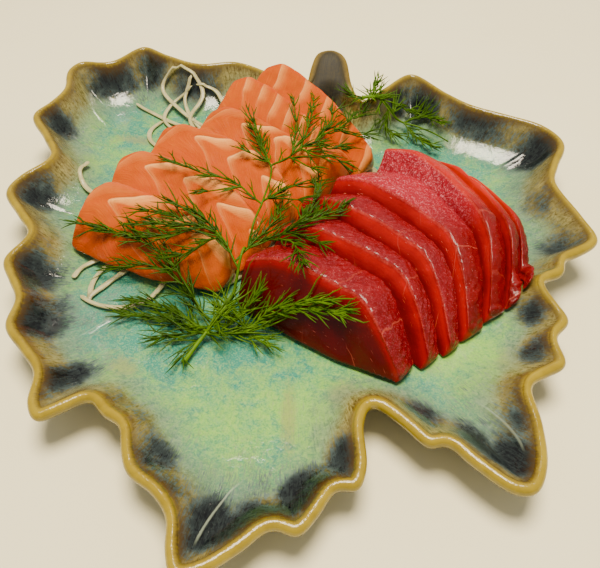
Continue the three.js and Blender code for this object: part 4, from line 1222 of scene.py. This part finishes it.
def herb_tubes(lines, radii, sides, tip, fresh, power=1.0):
    """Tubes that taper from one radius to another with a power of the way, and how near each
    point is to a tip and how fresh it is."""
    t = np.linspace(0, 1, lines.shape[1])[None]
    size = mix(*radii, t ** power) * np.ones((len(lines), 1))
    values = {"tip": tip * t * np.ones_like(size), "young": fresh * np.ones_like(size)}
    return shell(tubes(lines, size, size, sides),
                 {key: value[..., None] for key, value in values.items()})


def build_sprig(name, node, paths, relief, seed, growth, tufts, young, spacing):
    """A main stem with tufts at some shares of its length, its branches, a row of twigs on each
    branch, and needles on the twigs. Young and spacing say how fresh each branch is and how far
    apart its twigs are. Gives the sprig's points."""
    random = np.random.default_rng(seed)
    stem = raised(stepped(paths[0], 5), relief, STEM_RADII[0])
    grown = between(stem)
    smooth = evenly(spline(stem), STEM_POINTS)
    shapes = [herb_tubes(smooth[None], (STEM_RADII[0], STEM_RADII[1] * 0.5), STEM_SIDES, 0,
                         np.linspace(1.0, 0.3, STEM_POINTS)[None], 0.3)]
    share = np.repeat(tufts, TUFT)
    share = share + random.uniform(-0.02, 0.02, len(share))
    at = (share * (STEM_POINTS - 1)).astype(int)
    turn = random.uniform(-2.4, 2.4, len(at))
    way = turned(unit(smooth[at + 1] - smooth[at]), turn, random.uniform(0.05, 0.6, len(at)))
    # each twig's foot, heading, bend, length and freshness
    twigs = [(smooth[at], way, random.normal(0, 0.15, (len(at), 3)),
              random.uniform(7, 13, len(at)), random.uniform(0.3, 0.8, len(at)))]
    for branch, shade, apart in zip(paths[1:], young, spacing):
        start = grown[np.linalg.norm(grown - branch[0], axis=1).argmin()]
        line = stepped(np.vstack([start, branch[1:]]), 4)
        line[1:] = raised(line[1:], relief)
        grown = np.vstack([grown, between(line)])
        fine = evenly(spline(line), BRANCH_POINTS)
        shapes.append(herb_tubes(fine[None], BRANCH_RADII, BRANCH_SIDES, 0.3, 0.3 + 0.6 * shade))
        joints = max(2, round(length_of(fine) / apart))
        t = np.linspace(0.14, 0.97, joints) + random.uniform(-0.06, 0.03, joints)
        t = np.repeat(t, len(FAN_ANGLES))
        at = np.clip((t * (BRANCH_POINTS - 1)).astype(int), 0, BRANCH_POINTS - 2)
        ahead = unit(fine[at + 1] - fine[at])
        angle = np.tile(FAN_ANGLES, joints) + random.uniform(-0.25, 0.25, len(t))
        way = turned(ahead, angle, random.uniform(-0.05, 0.5, len(t)))
        twigs.append((fine[at], way, (ahead - way) * random.uniform(0.1, 0.5, (len(t), 1)),
                      mix(16, 11.5, t) * growth * random.uniform(0.5, 1.15, len(t)),
                      np.full(len(t), shade)))
        twigs.append((fine[-1:], unit(fine[-1:] - fine[-4:-3]), np.zeros((1, 3)),
                      np.full(1, 9 * growth), np.full(1, shade)))
    feet, ways, bends, sizes, fresh = map(np.concatenate, zip(*twigs))
    bends = bends + random.normal(0, 0.08, bends.shape) - SAG
    lines = threads(feet, ways, sizes, bends, relief)
    tone = np.clip(fresh[:, None] + random.normal(0, 0.12, (len(feet), 1)), 0, 1)
    shapes.append(herb_tubes(lines, TWIG_RADII, THREAD_SIDES, 1.0, tone, 2.2))

    spot = np.flatnonzero(random.uniform(size=len(lines)) < 0.6)
    share = random.uniform(0.2, 0.5, len(spot))
    step = share * (THREAD_POINTS - 1)
    low = np.clip(step.astype(int), 0, THREAD_POINTS - 2)
    a, b = lines[spot, low], lines[spot, low + 1]
    side = random.choice([-1, 1], len(spot))
    way = turned(unit(b - a), side * random.uniform(0.28, 0.55, len(spot)),
                 random.uniform(-0.1, 0.25, len(spot)))
    size = sizes[spot] * random.uniform(0.75, 1.1, len(spot)) * (1 - share)
    bend = random.normal(0, 0.1, (len(spot), 3)) - SAG
    needles = threads(mix(a, b, (step - low)[:, None]), way, size, bend, relief)
    shapes.append(herb_tubes(needles, NEEDLE_RADII, THREAD_SIDES, 1.0, tone[spot], 2.2))
    piece = gathered(shapes)
    make_piece(name, piece, HERB, node)
    return piece[0]


# ---- the whole

ground = Relief()
ground.add(build_dish())
ground.fill(HEART, 62, FLOOR_TOP)
laid = Relief()
laid.heights[:] = ground.heights
for points in [*build_fan("salmon", SALMON, salmon_slice, SALMON_FLESH, ground),
               *build_fan("tuna", TUNA, tuna_slice, TUNA_FLESH, ground)]:
    laid.add(points)
laid.add(build_daikon(ground, laid))
front_branches = range(len(DILL_FRONT) - 1)
laid.add(build_sprig(
    "dill_front_sprig", "dill_front", DILL_FRONT, laid, 29, 0.88, (0.15, 0.18, 0.21, 0.25),
    [0.7 if 6 <= n <= 10 else 0.12 for n in front_branches],
    [2.9 if n in LOW_BRANCHES else 4.4 if n <= 21 else 6.6 for n in front_branches]))
build_sprig("dill_back_sprig", "dill_back", DILL_BACK, laid, 31, 0.72, (0.1, 0.2),
            [0.3] * (len(DILL_BACK) - 1), [2.6] * (len(DILL_BACK) - 1))

# ---- floor, light and camera

TABLE_HALF = 1500
# Each light: its place and its width in metres, its power in watts and its tint.
LIGHTS = {
    "overhead": ((0.02, 0.02, 0.95), 0.45, 20.0, (1.0, 0.88, 0.68)),
    "window": ((-0.9, 0.4, 0.8), 0.8, 8.0, (1.0, 0.95, 0.88)),
    "spot_left": ((-0.28, 0.62, 0.75), 0.07, 2.4, (1.0, 0.9, 0.76)),
    "spot_right": ((0.34, 0.55, 0.8), 0.05, 1.2, (1.0, 0.88, 0.72)),
}


def build_floor():
    """A wide level sheet under the dish."""
    mesh = bpy.data.meshes.new("table_top")
    corners = np.array([(-1, -1, 0), (1, -1, 0), (1, 1, 0), (-1, 1, 0)]) * TABLE_HALF * MM
    mesh.from_pydata(corners.tolist(), [], [(0, 1, 2, 3)])
    f = Finish("table_paper")
    body = f.blend(f.noise(f.place(), 60, 3), (248, 238, 194), (252, 244, 206))
    mesh.materials.append(f.finished(base_color=body, roughness=0.75))
    floor = add_object("table_top", mesh)


def add_light(name, place, size, power, tint):
    """A round soft light at a place, turned towards the middle of the dish."""
    data = bpy.data.lights.new(name, "AREA")
    data.shape = "DISK"
    data.size = size
    data.energy = power
    data.color = tint
    lamp = add_object(name, data)
    lamp.location = place
    x, y, z = np.array(place) / np.linalg.norm(place)
    lamp.rotation_euler = (np.arccos(z), 0, np.arctan2(-x, y))


build_floor()
for name, light in LIGHTS.items():
    add_light(name, *light)
world = bpy.data.worlds.new("studio")
world.use_nodes = True
background = world.node_tree.nodes["Background"]
background.inputs["Color"].default_value = (0.95, 0.92, 0.86, 1)
background.inputs["Strength"].default_value = 0.45
bpy.context.scene.world = world

camera_data = bpy.data.cameras.new("camera")
camera_data.lens = 38.4
camera_data.sensor_width = 36
camera_data.sensor_fit = "HORIZONTAL"
camera_data.clip_start = 0.01
camera = add_object("camera", camera_data)
camera.location = (0.00364, -0.19408, 0.18476)
camera.rotation_euler = (np.radians(44), 0, 0)
bpy.context.scene.camera = camera
